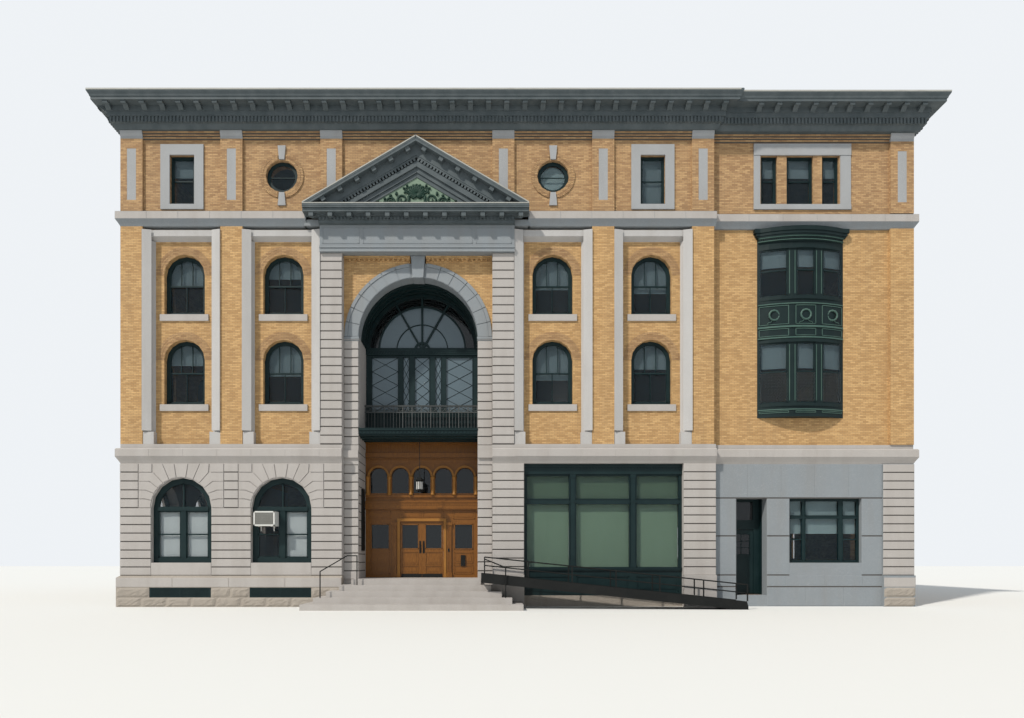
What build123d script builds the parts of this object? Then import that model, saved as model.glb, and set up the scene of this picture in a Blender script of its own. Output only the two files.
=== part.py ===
"""City opera house of about 1900: granite ground storey, brick upper storeys, bracketed metal cornice,
and a recessed centre bay with a porch, a balcony, a great arch and a pediment.

Millimetres. X runs right and Y into the building as seen from the street, and Z up. The origin is on the
entrance axis, on the plane of the front pilasters, at the lowest ground line.
"""
import math
import os

from build123d import *

# Plan of the main block, of the lower bay at its right, and the thickness of the walls
HALF_MAIN = 12120
SIDE_BAY_WIDTH = 8280
SIDE_BAY_RIGHT = HALF_MAIN + SIDE_BAY_WIDTH
DEPTH = 21400
FRONT_INNER = 750
SIDE_WALL = 750
PLAIN_WALL = 500

# Gap between pieces that meet, a mortar joint, and how far a cut runs past what it cuts
SEAT = 0.3
MORTAR = 3
PAST = 5

# Heights of the storeys and bands, and the levels that they add up to
PLINTH_TOP = 1276
GROUND_HEIGHT = 4580
BELT_HEIGHT = 788
UPPER_HEIGHT = 8886
STRING_HEIGHT = 624
ATTIC_HEIGHT = 3262
CORNICE_HEIGHT = 1154
GROUND_TOP = PLINTH_TOP + GROUND_HEIGHT
BELT_TOP = GROUND_TOP + BELT_HEIGHT
UPPER_TOP = BELT_TOP + UPPER_HEIGHT
STRING_TOP = UPPER_TOP + STRING_HEIGHT
ATTIC_TOP = STRING_TOP + ATTIC_HEIGHT
CORNICE_TOP = ATTIC_TOP + CORNICE_HEIGHT

# Floors
HALL_FLOOR = 1140
SIDE_FLOOR = 460
FLOOR_THICK = 300
BALCONY_FLOOR = BELT_TOP + 716
THIRD_FLOOR = BELT_TOP + 0.5352 * UPPER_HEIGHT
ATTIC_FLOOR = UPPER_TOP + 370

# Centre bay: its stone pilasters, the piers of the porch, the arch and the recess
PORCH_HALF = 2460
PIER_WIDTH = 605
CENTRE_PILASTER = 898
CENTRE_INNER = PORCH_HALF + PIER_WIDTH
CENTRE_OUTER = CENTRE_INNER + CENTRE_PILASTER
PIER_PLANE = 350
RECESS_BACK = 2300
SCREEN_PLANE = 2000
CENTRE_TOP = UPPER_TOP - 1090
KEYSTONE_TOP = CENTRE_TOP - 20
KEYSTONE_HEIGHT = 840
KEYSTONE_HALF_TOP = 300
KEYSTONE_HALF_FOOT = 225
KEYSTONE_PROUD = 120
ARCH_OUTER = CENTRE_INNER - 15
ARCH_SPRING = KEYSTONE_TOP - PORCH_HALF - KEYSTONE_HEIGHT
ARCH_DEPTH = 580
VOUSSOIRS_A_SIDE = 7

# Bays of the front and of the left side
PILASTER_WIDTH = 900
PANEL_WIDTH = (HALF_MAIN - CENTRE_OUTER) / 2 - PILASTER_WIDTH
BAY_PITCH = PANEL_WIDTH + PILASTER_WIDTH
BAY_CENTRES = (CENTRE_OUTER + PANEL_WIDTH / 2, CENTRE_OUTER + PANEL_WIDTH / 2 + BAY_PITCH)
PILASTER_CENTRES = (CENTRE_OUTER + BAY_PITCH - PILASTER_WIDTH / 2, HALF_MAIN - PILASTER_WIDTH / 2)
SIDE_BAYS = 5
SIDE_MARGIN = 450
SIDE_BAY_PITCH = (DEPTH - 2 * SIDE_MARGIN) / SIDE_BAYS
PANEL_SETBACK = 300
ATTIC_SETBACK = 100

# Timber window frames and their glass
FRAME_DEPTH = 120
GLASS_THICK = 12
UPPER_BORDER = 110
GROUND_BORDER = 195
ATTIC_BORDER = 70
ROUND_BORDER = 80

# Arched windows of the two brick storeys
WINDOW_WIDTH = 0.5254 * PANEL_WIDTH
WINDOW_REVEAL = 330
SILL_TOPS = (BELT_TOP + 0.1886 * UPPER_HEIGHT, BELT_TOP + 0.6061 * UPPER_HEIGHT)
SPRING_LINES = (BELT_TOP + 0.3946 * UPPER_HEIGHT, BELT_TOP + 0.7896 * UPPER_HEIGHT)
SILL_WIDTH = WINDOW_WIDTH + 330
SILL_HEIGHT = 270
SILL_PROUD = 60

# Granite frame band of each brick panel, a share of the panel's half width
FRAME_GAP = 10
FRAME_SHARE = 0.2533
FRAME_DEPTH_OUT = 220
FRAME_SPLAY = 150
FRAME_TOP = UPPER_TOP - 110
FRAME_FOOT = BELT_TOP + 506
FRAME_FOOT_OUT = 60
FRAME_FOOT_WIDE = 40

# Ground storey of the left front and side, with its plinth and vents
GROUND_WINDOW = 0.774 * PANEL_WIDTH
GROUND_SPRING = GROUND_TOP - 1816
GROUND_SILL = PLINTH_TOP + 524
GROUND_REVEAL = 200
PLINTH_OUT = 120
PLINTH_SLOPE = 90
VENT_TOP = 790
VENT_FOOT = 385
VENT_WIDTH = GROUND_WINDOW + 50
VENT_RECESS = 60
VENT_SUNK = 25

# Moulded belt over the ground storey and string course over the brick storeys, as (projection, height)
BELT_STEPS = ((45, 90), (130, 230), (150, 264), (150, 564), (110, 604), (0, 604))
STRING_STEPS = ((50, 90), (130, 210), (150, 240), (150, 550))
BELT_FACE = (264, 564)
BELT_OUT = 150

# Shop front between the right piers
MAIN_END = HALF_MAIN + 70
SHOP_LEFT = CENTRE_INNER + 1295
SHOP_RIGHT = MAIN_END - 1320
SHOP_PLANE = 250
SHOP_FRAME = 150
SHOP_BASE = 450
SHOP_PANEL_TOP = 1380
SHOP_PANEL_BORDER = (150, 130)
SHOP_PANEL_SUNK = 30
SHOP_SILL_TOP = 1590
SHOP_SILL_HEIGHT = 110
SHOP_SILL_OUT = 60
SHOP_FASCIA_OUT = 40
SHOP_TRANSOM = (GROUND_TOP - 1646, GROUND_TOP - 1426)
SHOP_HEAD = GROUND_TOP - 476
SHOP_POST = 130
SHOP_MULLION = 285
SHOP_MIDDLE_SHARE = 0.352
SHOP_PIER_BASE = 1300

# Side bay, set back behind the main block
SIDE_PLANE = 250
SIDE_BRICK_PLANE = 340
SIDE_CORNICE_SHIFT = 120
SIDE_DOOR = (HALF_MAIN + 985, HALF_MAIN + 2247)
SIDE_DOOR_HEAD = GROUND_TOP - 1402
SIDE_DOOR_PLANE = 1100
SIDE_WINDOW = (HALF_MAIN + 3180, HALF_MAIN + 6150)
SIDE_WINDOW_SILL = 1797
SIDE_WINDOW_MULLIONS = ((HALF_MAIN + 3790, HALF_MAIN + 3920), (HALF_MAIN + 5300, HALF_MAIN + 5470))
SIDE_WINDOW_TRANSOM = (SIDE_DOOR_HEAD - 834, SIDE_DOOR_HEAD - 709)
SIDE_WINDOW_BORDER = 100
SIDE_WINDOW_REVEAL = 200
CORNER_PIER_LEFT = SIDE_BAY_RIGHT - 1280
CORNER_PIER_OUT = 60
CORNER_BASE_OUT = 160
CORNER_PILASTER = (SIDE_BAY_RIGHT - 970, SIDE_BAY_RIGHT - 10)

# Oriel of the side bay: outline, crown, belts and the two rows of three lights
ORIEL_LEFT = HALF_MAIN + 1880
ORIEL_RIGHT = ORIEL_LEFT + 3550
ORIEL_BOTTOM = BELT_TOP + 1116
ORIEL_TOP = UPPER_TOP - 40
ORIEL_BOW = 350
ORIEL_SKIN = 120
ORIEL_LIGHTS = ((100, 1140), (1480, 2240), (2580, 3450))
ORIEL_ROWS = ((BELT_TOP + 0.1897 * UPPER_HEIGHT, BELT_TOP + 0.47 * UPPER_HEIGHT),
              (BELT_TOP + 0.6815 * UPPER_HEIGHT, BELT_TOP + 0.901 * UPPER_HEIGHT))
ORIEL_CROWN = ((60, 560), (90, 340), (130, 120))
ORIEL_BELT_OUT = 50
ORIEL_BELT_HEIGHT = 130
ORIEL_BACK = 200

# Attic windows
ATTIC_SILL = STRING_TOP + 316
ATTIC_HEAD = ATTIC_SILL + 2010
ATTIC_OPENING = 1010
ATTIC_SURROUND = 1757
ATTIC_SURROUND_BOTTOM = ATTIC_SILL - 210
ATTIC_SURROUND_TOP = ATTIC_HEAD + 430
ATTIC_REVEAL = 120
STONE_OUT = 60
ROUND_CENTRE = STRING_TOP + 1466
ROUND_RADIUS = 650
ROUND_RING = 250
ROUND_RING_OUT = 30
KEY_TOP = (ROUND_CENTRE + 680, ROUND_CENTRE + 1240)
KEY_FOOT = (ROUND_CENTRE - 1200, ROUND_CENTRE - 670)
KEY_HALVES = (110, 160)
TRIPLE_OPENINGS = ((HALF_MAIN + 2030, HALF_MAIN + 2700), (HALF_MAIN + 3090, HALF_MAIN + 4190),
                   (HALF_MAIN + 4550, HALF_MAIN + 5250))
TRIPLE_SURROUND = (HALF_MAIN + 1720, HALF_MAIN + 5730)
TRIPLE_SILL = STRING_TOP + 416
TRIPLE_HEAD = TRIPLE_SILL + 2020
TRIPLE_SILL_HEIGHT = 210
TRIPLE_LINTEL_HEIGHT = 470

# Attic pilasters: the sunk inset and the flared cap, as (projection, height)
ATTIC_PILASTER_CENTRES = (CENTRE_OUTER - PILASTER_WIDTH / 2, *PILASTER_CENTRES)
CAP_FOOT = ATTIC_TOP - 306
CAP_STEPS = ((0, 110), (45, 200))
CAP_OUT = 60
INSET_WIDTH = 370
INSET_LEVELS = (STRING_TOP + 456, STRING_TOP + 2556)
INSET_DEPTH = 25

# Fillet, frieze and pediment over the arch
FRIEZE_BOTTOM = CENTRE_TOP + 220
FILLET_OUT = 150
FRIEZE_OUT = 100
PEDIMENT_HALF = CENTRE_OUTER + 567
PEDIMENT_OUT = 690
PEDIMENT_BASE = STRING_TOP + 36
PEDIMENT_APEX = PEDIMENT_BASE + 2660
PEDIMENT_BED_OUT = 420
PEDIMENT_RAKE = 560
TYMPANUM_OUT = 200
RAKE_STEP = 200
PEDIMENT_BRACKETS = 12
RAKE_BRACKETS = 6
BRACKET_HALF = 90
BRACKET_HEIGHT = 165
BRACKET_MARGIN = 330

# Main cornice, as (projection, share of its height), and its brackets
CORNICE_OUT = 900
CORNICE_BACK = 300
CORNICE_BED = 400
CORNICE_STEPS = ((0, 0), (100, 0.0035), (200, 0.16), (290, 0.165), (290, 0.347), (360, 0.35), (360, 0.506),
                 (CORNICE_BED, 0.506), (CORNICE_BED, 0.679), (CORNICE_OUT - 120, 0.679),
                 (CORNICE_OUT - 120, 0.766), (CORNICE_OUT - 90, 0.78), (CORNICE_OUT - 70, 0.832),
                 (CORNICE_OUT - 30, 0.884), (CORNICE_OUT - 5, 0.919), (CORNICE_OUT, 0.953), (CORNICE_OUT, 1))
MODILLION_SHARES = (0.506, 0.679)
MODILLION_OUT = 720
MODILLION_PITCH = 727
MODILLION_WIDTH = 200
MODILLION_DROP = 100
RETURN_MODILLIONS = 3

# Roof, parapet and the plain back and right side
ROOF_THICK = 300
PARAPET_TOP = CORNICE_TOP - 100
COPING_TOP = CORNICE_TOP - 10
COPING_OUT = 60
BACK_WINDOW_WIDTH = 1250
BACK_WINDOW_ROWS = ((PLINTH_TOP + 624, 2400), (SILL_TOPS[0] - 120, 2400), (SILL_TOPS[1] - 30, 2300),
                    (ATTIC_SILL + 130, 1800))
BACK_WINDOW_REVEAL = 120
BACK_WINDOW_BORDER = 80
BACK_BAYS = 4
RIGHT_BAYS = 3
BACK_SILL_WIDE = 100
BACK_SILL_OUT = 60
BACK_SILL_HEIGHT = 150

# Entry screen of golden oak: sides, casing, moulded bands and an arcade of small lights
SCREEN_DEPTH = 140
SCREEN_HEAD = BALCONY_FLOOR - 305
SCREEN_GLASS = 60
DOOR_HALF = 930
DOOR_FOOT = HALL_FLOOR + 10
DOOR_HEAD = HALL_FLOOR + 2406
DOOR_THICK = 55
DOOR_GAP = 5
DOOR_GLASS = (170, 860, HALL_FLOOR + 1280, HALL_FLOOR + 2300)
DOOR_GLASS_BACK = 22
DOOR_PANELS = ((HALL_FLOOR + 190, HALL_FLOOR + 500), (HALL_FLOOR + 580, HALL_FLOOR + 1110))
DOOR_PANEL_SUNK = 12
CASING = (DOOR_HALF + 170, DOOR_HALF + 370)
CASING_OUT = 60
SIDELIGHT = (1450, PORCH_HALF - 260, HALL_FLOOR + 1270, HALL_FLOOR + 2310)
ARCADE_LIGHTS = 5
ARCADE_PITCH = 0.3837 * PORCH_HALF
ARCADE_RADIUS = 0.1476 * PORCH_HALF
ARCADE_SPRING = SCREEN_HEAD - 1502
ARCADE_SILL = SCREEN_HEAD - 2320
ARCADE_GLASS_FOOT = ARCADE_SILL + 90
SCREEN_BANDS = ((120, SCREEN_HEAD - 2945, SCREEN_HEAD - 2585), (70, ARCADE_SILL - 95, ARCADE_SILL),
                (70, SCREEN_HEAD - 675, SCREEN_HEAD - 470))

# Door hinges
HINGE_RADIUS = 8
HINGE_LENGTH = 110
HINGE_STRAP = 45
HINGE_INSET = 250
HINGE_SIDES = 8

# Side entrance
SIDE_LEAF = (SIDE_DOOR[0] + 35, SIDE_DOOR[1] - 217)
SIDE_LEAF_FOOT = SIDE_FLOOR + 10
SIDE_LEAF_HEAD = SIDE_FLOOR + 2740
SIDE_LEAF_BORDER = 150
SIDE_LEAF_GLASS = (SIDE_LEAF_HEAD - 1050, SIDE_LEAF_HEAD - 200)
SIDE_FRAME_DEPTH = 100
SIDE_LINING = 150
TRANSOM_LIGHT = (SIDE_DOOR[0] + 90, SIDE_DOOR[1] - 250, SIDE_LEAF_HEAD + 400, SIDE_DOOR_HEAD - 90)

# Balcony, its railing and the glazed screen behind it
BALCONY_EDGE = 60
BALCONY_LIP = 50
BALCONY_LIP_HEIGHT = 90
RAIL_PLANE = 1750
RAIL_TOP = BALCONY_FLOOR + 1250
RAIL_HALF = 35
RAIL_BAR = 40
RAIL_BAND = 280
RAIL_LIFT = 100
BALUSTERS = 13
BALUSTER_SIDE = 36
LOGGIA_SCREEN = 2100
LOGGIA_FRAME = 120
LOGGIA_BAR = (ARCH_SPRING - 240, ARCH_SPRING - 2 * SEAT)
LOGGIA_BAR_OUT = 60
LOGGIA_EDGE = PORCH_HALF - 260
LOGGIA_LIGHTS = ((-LOGGIA_EDGE, -1060), (-820, -580), (-310, 310), (580, 820), (1060, LOGGIA_EDGE))
LOGGIA_GLASS = (BALCONY_FLOOR + 1000, ARCH_SPRING - 340)
FAN_RADIUS = PORCH_HALF - 180
FAN_SPOKES = (60, 90, 120)
FAN_SPOKE = (80, 90)
FAN_SILL = 90

# Street steps and landing
LANDING_FRONT = -500
LANDING_HALF = PORCH_HALF + 140
STEP_GOING = 420
STEP_SPREADS = (1620, 1210, 820, 400)
RISE = HALL_FLOOR / (len(STEP_SPREADS) + 1)

# Steel ramp and its railings
RAMP_LEFT = LANDING_HALF + 20
RAMP_RIGHT = 12910
RAMP_FRONT = -1600
RAMP_BACK = -350
RAMP_DECK = 60
RAMP_CURB = 260
RAMP_BEAM = 60
RAMP_BEAM_DROP = 100
RAMP_TOE = 400
RAMP_POST_COUNT = 7
RAMP_FIRST_POST = RAMP_LEFT + 130
RAMP_LAST_POST = RAMP_RIGHT - 30
RAMP_POST_HALF = 22
RAIL_HEIGHT = 900
LOWER_RAIL = 570
RAIL_RADIUS = 24
LOWER_RAIL_RADIUS = 18
BAR_SIDES = 6

# Handrails of the steps
HANDRAIL_FOOT = (LANDING_HALF + 960, LANDING_FRONT - 1180)
HANDRAIL_TURN = (LANDING_HALF + 120, LANDING_FRONT - 200)
HANDRAIL_TOP = LANDING_HALF - 270
HANDRAIL_LEVELS = (HALL_FLOOR + 330, HALL_FLOOR + 940)
RIGHT_POST_TOP = HALL_FLOOR + 480
RIGHT_RAIL_END = HALL_FLOOR + 810

# Hanging lantern and window air conditioner
LANTERN_PLANE = 950
LANTERN_FOOT = 4780
LANTERN_STAGES = ((70, 60), (150, 420), (190, 30))
LANTERN_ROOF = 110
LANTERN_TAPER = 50
LANTERN_ROD = 14
COOLER_MARGIN = 17
COOLER_WIDTH = 850
COOLER_LEVELS = (3290, 3880)
COOLER_OUT = 330

# Facets of the half-round window heads, of full circles, of the great arch and of the oriel's bow
ARCH_FACETS = 8
ROUND_FACETS = 16
GREAT_FACETS = 60
ORIEL_FACETS = 8

nodes = {}


def keep(name, *solids):
    """Files solids under the name of their piece."""
    for shape in solids:
        nodes.setdefault(name, []).extend(shape.solids())


def block(x0, x1, y0, y1, z0, z1):
    """A box between two corners."""
    box = Box(x1 - x0, y1 - y0, z1 - z0)
    return Pos((x0 + x1) / 2, (y0 + y1) / 2, (z0 + z1) / 2) * box


def span(x0, x1, y0, y1, z0, z1):
    """A box between two corners given in any order."""
    return block(min(x0, x1), max(x0, x1), min(y0, y1), max(y0, y1), min(z0, z1), max(z0, z1))


def side_block(sign, inner, outer, y0, y1, z0, z1):
    """A box on one side of the entrance axis; sign is -1 for the left and 1 for the right."""
    return span(sign * inner, sign * outer, y0, y1, z0, z1)


def prism_x(points, x0, x1):
    """A polygon of (y, z) points run from x0 to x1."""
    face = make_face(Polyline(*[(x0, y, z) for y, z in points], close=True))
    return extrude(face, amount=x1 - x0, dir=(1, 0, 0))


def prism_y(points, y0, y1):
    """A polygon of (x, z) points run from y0 back to y1."""
    face = make_face(Polyline(*[(x, y0, z) for x, z in points], close=True))
    return extrude(face, amount=y1 - y0, dir=(0, 1, 0))


def prism_z(points, z0, z1):
    """A polygon of (x, y) points run from z0 up to z1."""
    face = make_face(Polyline(*[(x, y, z0) for x, y in points], close=True))
    return extrude(face, amount=z1 - z0, dir=(0, 0, 1))


def circle_points(centre, height, radius, first, last, count):
    """Points round a circle in the XZ plane, from one angle to another in degrees."""
    angles = [math.radians(first + (last - first) * number / count) for number in range(count + 1)]
    return [(centre + radius * math.cos(angle), height + radius * math.sin(angle)) for angle in angles]


def arched(centre, width, foot, spring, y0, y1):
    """A round-headed plug, to cut an arched opening or to fill one."""
    radius = width / 2
    outline = [(centre - radius, foot), (centre + radius, foot)]
    outline += circle_points(centre, spring, radius, 0, 180, ARCH_FACETS)
    return prism_y(outline, y0, y1)


def disc(centre, height, radius, y0, y1, facets=ROUND_FACETS):
    """A round plug with its axis along Y."""
    return prism_y(circle_points(centre, height, radius, 0, 360, facets)[:-1], y0, y1)


def great_arch(radius, y0, y1):
    """A round plug about the great arch's centre that clears a circle of this radius."""
    grown = radius / math.cos(math.pi / GREAT_FACETS)
    return disc(0, ARCH_SPRING, grown, y0, y1, GREAT_FACETS)


def half_disc(radius, y0, y1, lift=0):
    """The upper half of a round plug about the arch's centre, cut off at a height above its springing."""
    plug = disc(0, ARCH_SPRING, radius, y0, y1, GREAT_FACETS)
    return plug & block(-PORCH_HALF, PORCH_HALF, y0, y1, ARCH_SPRING + lift, CORNICE_TOP)


def moulding(profile, x0, x1, left=0, right=0):
    """A moulding along X; its profile is (projection, z) from the wall plane Y=0.

    left and right are the ends: 1 mitred round an outer corner, -1 an inner one, 0 square.
    """
    out = max(projection for projection, z in profile)
    back = -min(projection for projection, z in profile)
    foot = min(z for projection, z in profile)
    head = max(z for projection, z in profile)
    body = prism_x([(-projection, z) for projection, z in profile], x0 - out, x1 + out)
    plan = [(x0 + left * back, back), (x1 - right * back, back), (x1 + right * out, -out), (x0 - left * out, -out)]
    return body & prism_z(plan, foot, head)


# A piece drawn for the front goes here: the left side's own X starts at its back corner,
# the back's at its right end as seen from the street, and the right side's at its front corner.
FRONT = Pos(0, 0, 0)
LEFT_SIDE = Pos(-HALF_MAIN, DEPTH, 0) * Rot(0, 0, -90)
RIGHT_SIDE = Pos(SIDE_BAY_RIGHT, 0, 0) * Rot(0, 0, 90)
BACK = Pos(0, DEPTH, 0) * Rot(0, 0, 180)


def side_bay_centres():
    return [SIDE_MARGIN + SIDE_BAY_PITCH * (bay + 0.5) for bay in range(SIDE_BAYS)]


def side_pilaster_centres():
    return [SIDE_MARGIN + SIDE_BAY_PITCH * bay for bay in range(SIDE_BAYS + 1)]


def front_bay_centres():
    return [sign * centre for sign in (-1, 1) for centre in BAY_CENTRES]


def arched_window(centre, width, foot, spring, plane, border, place=FRONT):
    """A round-headed timber frame and the glass in it."""
    back = plane + FRAME_DEPTH
    pane_plane = plane + FRAME_DEPTH / 2
    frame = arched(centre, width - 2 * SEAT, foot + SEAT, spring, plane, back)
    frame -= arched(centre, width - 2 * border, foot + border, spring, plane - PAST, back + PAST)
    pane = arched(centre, width - 2 * (border + SEAT), foot + border + SEAT, spring, pane_plane,
                  pane_plane + GLASS_THICK)
    keep("window_frames", place * frame)
    keep("window_glass", place * pane)


def square_window(x0, x1, z0, z1, plane, border, place=FRONT):
    """A square-headed frame and its glass."""
    back = plane + FRAME_DEPTH
    frame = block(x0 + SEAT, x1 - SEAT, plane, back, z0 + SEAT, z1 - SEAT)
    frame -= block(x0 + border, x1 - border, plane - PAST, back + PAST, z0 + border, z1 - border)
    keep("window_frames", place * frame)
    keep("window_glass", place * pane_in(x0 + border, x1 - border, plane + FRAME_DEPTH / 2, z0 + border, z1 - border))


def pane_in(x0, x1, plane, z0, z1):
    """A flat pane that fills an opening, with its front on a plane."""
    return block(x0 + SEAT, x1 - SEAT, plane, plane + GLASS_THICK, z0 + SEAT, z1 - SEAT)


def build_plinth():
    """Rough granite plinth of the front and left side, with its sloped top and green vents."""
    profile = [(0, PLINTH_TOP), (PLINTH_OUT, PLINTH_TOP - PLINTH_SLOPE), (PLINTH_OUT, 0), (-FRONT_INNER, 0),
               (-FRONT_INNER, PLINTH_TOP)]
    front = moulding(profile, -HALF_MAIN, -CENTRE_INNER - SEAT, left=1)
    side = moulding(profile, 0, DEPTH - SEAT, right=1)
    for centre in BAY_CENTRES:
        front -= vent(-centre, 0, -PLINTH_OUT - PAST)
        keep("vent_panels", vent(-centre, SEAT, -PLINTH_OUT + VENT_SUNK))
    for centre in side_bay_centres():
        side -= vent(centre, 0, -PLINTH_OUT - PAST)
        keep("vent_panels", LEFT_SIDE * vent(centre, SEAT, -PLINTH_OUT + VENT_SUNK))
    keep("plinth_walls", front, LEFT_SIDE * side)
    keep("plinth_walls", block(SHOP_LEFT + SEAT, SHOP_RIGHT - SEAT, SHOP_PLANE - SHOP_SILL_OUT, FRONT_INNER, 0,
                               SHOP_BASE))


def vent(centre, clear, front):
    """A vent's recess in the plinth, or the panel that fills it but for a clearance."""
    half = VENT_WIDTH / 2 - clear
    return block(centre - half, centre + half, front, -PLINTH_OUT + VENT_RECESS - clear, VENT_FOOT + clear,
                 VENT_TOP - clear)


def build_ground_walls():
    """Granite ground storey with one wide arched window a bay."""
    front = block(-HALF_MAIN, -CENTRE_INNER - SEAT, 0, FRONT_INNER, PLINTH_TOP, GROUND_TOP)
    side = block(0, DEPTH - FRONT_INNER - SEAT, 0, SIDE_WALL, PLINTH_TOP, GROUND_TOP)
    for centre in BAY_CENTRES:
        front -= arched(-centre, GROUND_WINDOW, GROUND_SILL, GROUND_SPRING, -PAST, FRONT_INNER + PAST)
        arched_window(-centre, GROUND_WINDOW, GROUND_SILL, GROUND_SPRING, GROUND_REVEAL, GROUND_BORDER)
    for centre in side_bay_centres():
        side -= arched(centre, GROUND_WINDOW, GROUND_SILL, GROUND_SPRING, -PAST, FRONT_INNER + PAST)
        arched_window(centre, GROUND_WINDOW, GROUND_SILL, GROUND_SPRING, GROUND_REVEAL, GROUND_BORDER, LEFT_SIDE)
    keep("ground_walls", front, LEFT_SIDE * side)
    for x0, x1 in ((CENTRE_INNER + SEAT, SHOP_LEFT), (SHOP_RIGHT, MAIN_END)):
        pier = block(x0, x1, 0, FRONT_INNER, SHOP_PIER_BASE, GROUND_TOP)
        pier += block(x0, x1, -PLINTH_OUT, FRONT_INNER, 0, SHOP_PIER_BASE)
        keep("shop_piers", pier)


def build_shop_front():
    """The green shop front between the right piers: panelled foot, sill, posts, transom and head."""
    y0, y1 = SHOP_PLANE, SHOP_PLANE + SHOP_FRAME
    x0, x1 = SHOP_LEFT + SEAT, SHOP_RIGHT - SEAT
    top = GROUND_TOP - SEAT
    frame = block(x0, x1, y0, y1, SHOP_BASE + SEAT, top)
    frame += block(x0, x1, y0 - SHOP_SILL_OUT, y0, SHOP_SILL_TOP - SHOP_SILL_HEIGHT, SHOP_SILL_TOP)
    frame += block(x0, x1, y0 - SHOP_FASCIA_OUT, y0, SHOP_HEAD + SHOP_SILL_OUT, top)
    low, high = SHOP_TRANSOM
    below, above = SHOP_PANEL_BORDER
    for left, right in shop_lights():
        frame -= block(left, right, y0 - PAST, y0 + SHOP_PANEL_SUNK, SHOP_BASE + below, SHOP_PANEL_TOP - above)
        for z0, z1 in ((SHOP_SILL_TOP, low), (high, SHOP_HEAD)):
            frame -= block(left, right, y0 - SHOP_SILL_OUT - PAST, y1 + PAST, z0, z1)
            keep("window_glass", pane_in(left, right, y0 + SHOP_FRAME * 0.4, z0, z1))
    keep("shop_front", frame)


def shop_lights():
    """Left and right edges of the three lights of the shop front."""
    left, right = SHOP_LEFT + SHOP_POST, SHOP_RIGHT - SHOP_POST
    middle = SHOP_MIDDLE_SHARE * (right - left)
    outer = (right - left - middle) / 2 - SHOP_MULLION
    inner = left + outer + SHOP_MULLION
    return ((left, left + outer), (inner, inner + middle), (right - outer, right))


def band_profile(foot, top, steps):
    """A band's section as (projection, z), from its (projection, height) steps."""
    profile = [(-FRONT_INNER, foot), (0, foot)] + [(out, foot + height) for out, height in steps]
    return profile + [(0, top), (-FRONT_INNER, top)]


def build_belts():
    """The moulded granite belt over the ground storey and the string course under the attic."""
    bands = (("lower_belt", GROUND_TOP, BELT_TOP, BELT_STEPS, CENTRE_INNER),
             ("string_course", UPPER_TOP, STRING_TOP, STRING_STEPS, PEDIMENT_HALF))
    for name, foot, top, steps, centre_edge in bands:
        profile = band_profile(foot, top, steps)
        front_left = moulding(profile, -HALF_MAIN, -centre_edge - SEAT, left=1)
        front_right = moulding(profile, centre_edge + SEAT, MAIN_END)
        side_bay = Pos(0, SIDE_PLANE, 0) * moulding(profile, MAIN_END + SEAT, SIDE_BAY_RIGHT, right=1)
        side_bay &= block(HALF_MAIN, SIDE_BAY_RIGHT + BELT_OUT, -BELT_OUT, FRONT_INNER, foot, top)
        side = LEFT_SIDE * moulding(profile, 0, DEPTH - SEAT, right=1)
        keep(name, front_left, front_right, side_bay, side)


def panel_trim(centre, panel, place=FRONT):
    """The granite frame band of a brick panel, and the two sills and windows inside it."""
    half = panel / 2 - FRAME_GAP
    band = FRAME_SHARE * half
    inner_half = half - band
    front, back = PANEL_SETBACK - FRAME_DEPTH_OUT, PANEL_SETBACK - SEAT
    head_foot = FRAME_TOP - band
    head = block(centre - half, centre + half, front, back, head_foot, FRAME_TOP)
    head -= prism_x([(front - PAST, head_foot - PAST), (front - PAST, head_foot + FRAME_SPLAY),
                     (back + PAST, head_foot - PAST)], centre - half - PAST, centre + half + PAST)
    keep("panel_frames", place * head)
    for sign in (-1, 1):
        edge = centre + sign * half
        inside = centre + sign * inner_half
        splayed = inside + sign * FRAME_SPLAY
        jamb = prism_z([(edge, front), (splayed, front), (inside, back), (edge, back)], BELT_TOP + SEAT,
                       head_foot - MORTAR)
        jamb += span(edge, inside - sign * FRAME_FOOT_WIDE, front - FRAME_FOOT_OUT, back, BELT_TOP + SEAT, FRAME_FOOT)
        keep("panel_frames", place * jamb)
    for sill, spring in zip(SILL_TOPS, SPRING_LINES):
        keep("window_sills", place * block(centre - SILL_WIDTH / 2, centre + SILL_WIDTH / 2,
                                           PANEL_SETBACK - SILL_PROUD, back, sill - SILL_HEIGHT, sill))
        plane = PANEL_SETBACK + WINDOW_REVEAL - FRAME_DEPTH
        arched_window(centre, WINDOW_WIDTH, sill, spring, plane, UPPER_BORDER, place)


def cut_upper_windows(wall, centre):
    for sill, spring in zip(SILL_TOPS, SPRING_LINES):
        wall -= arched(centre, WINDOW_WIDTH, sill, spring, -PAST, FRONT_INNER + PAST)
    return wall


def brick_pilaster(x0, x1):
    return block(x0, x1, 0, PANEL_SETBACK - SEAT, BELT_TOP + SEAT, UPPER_TOP - SEAT)


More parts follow.
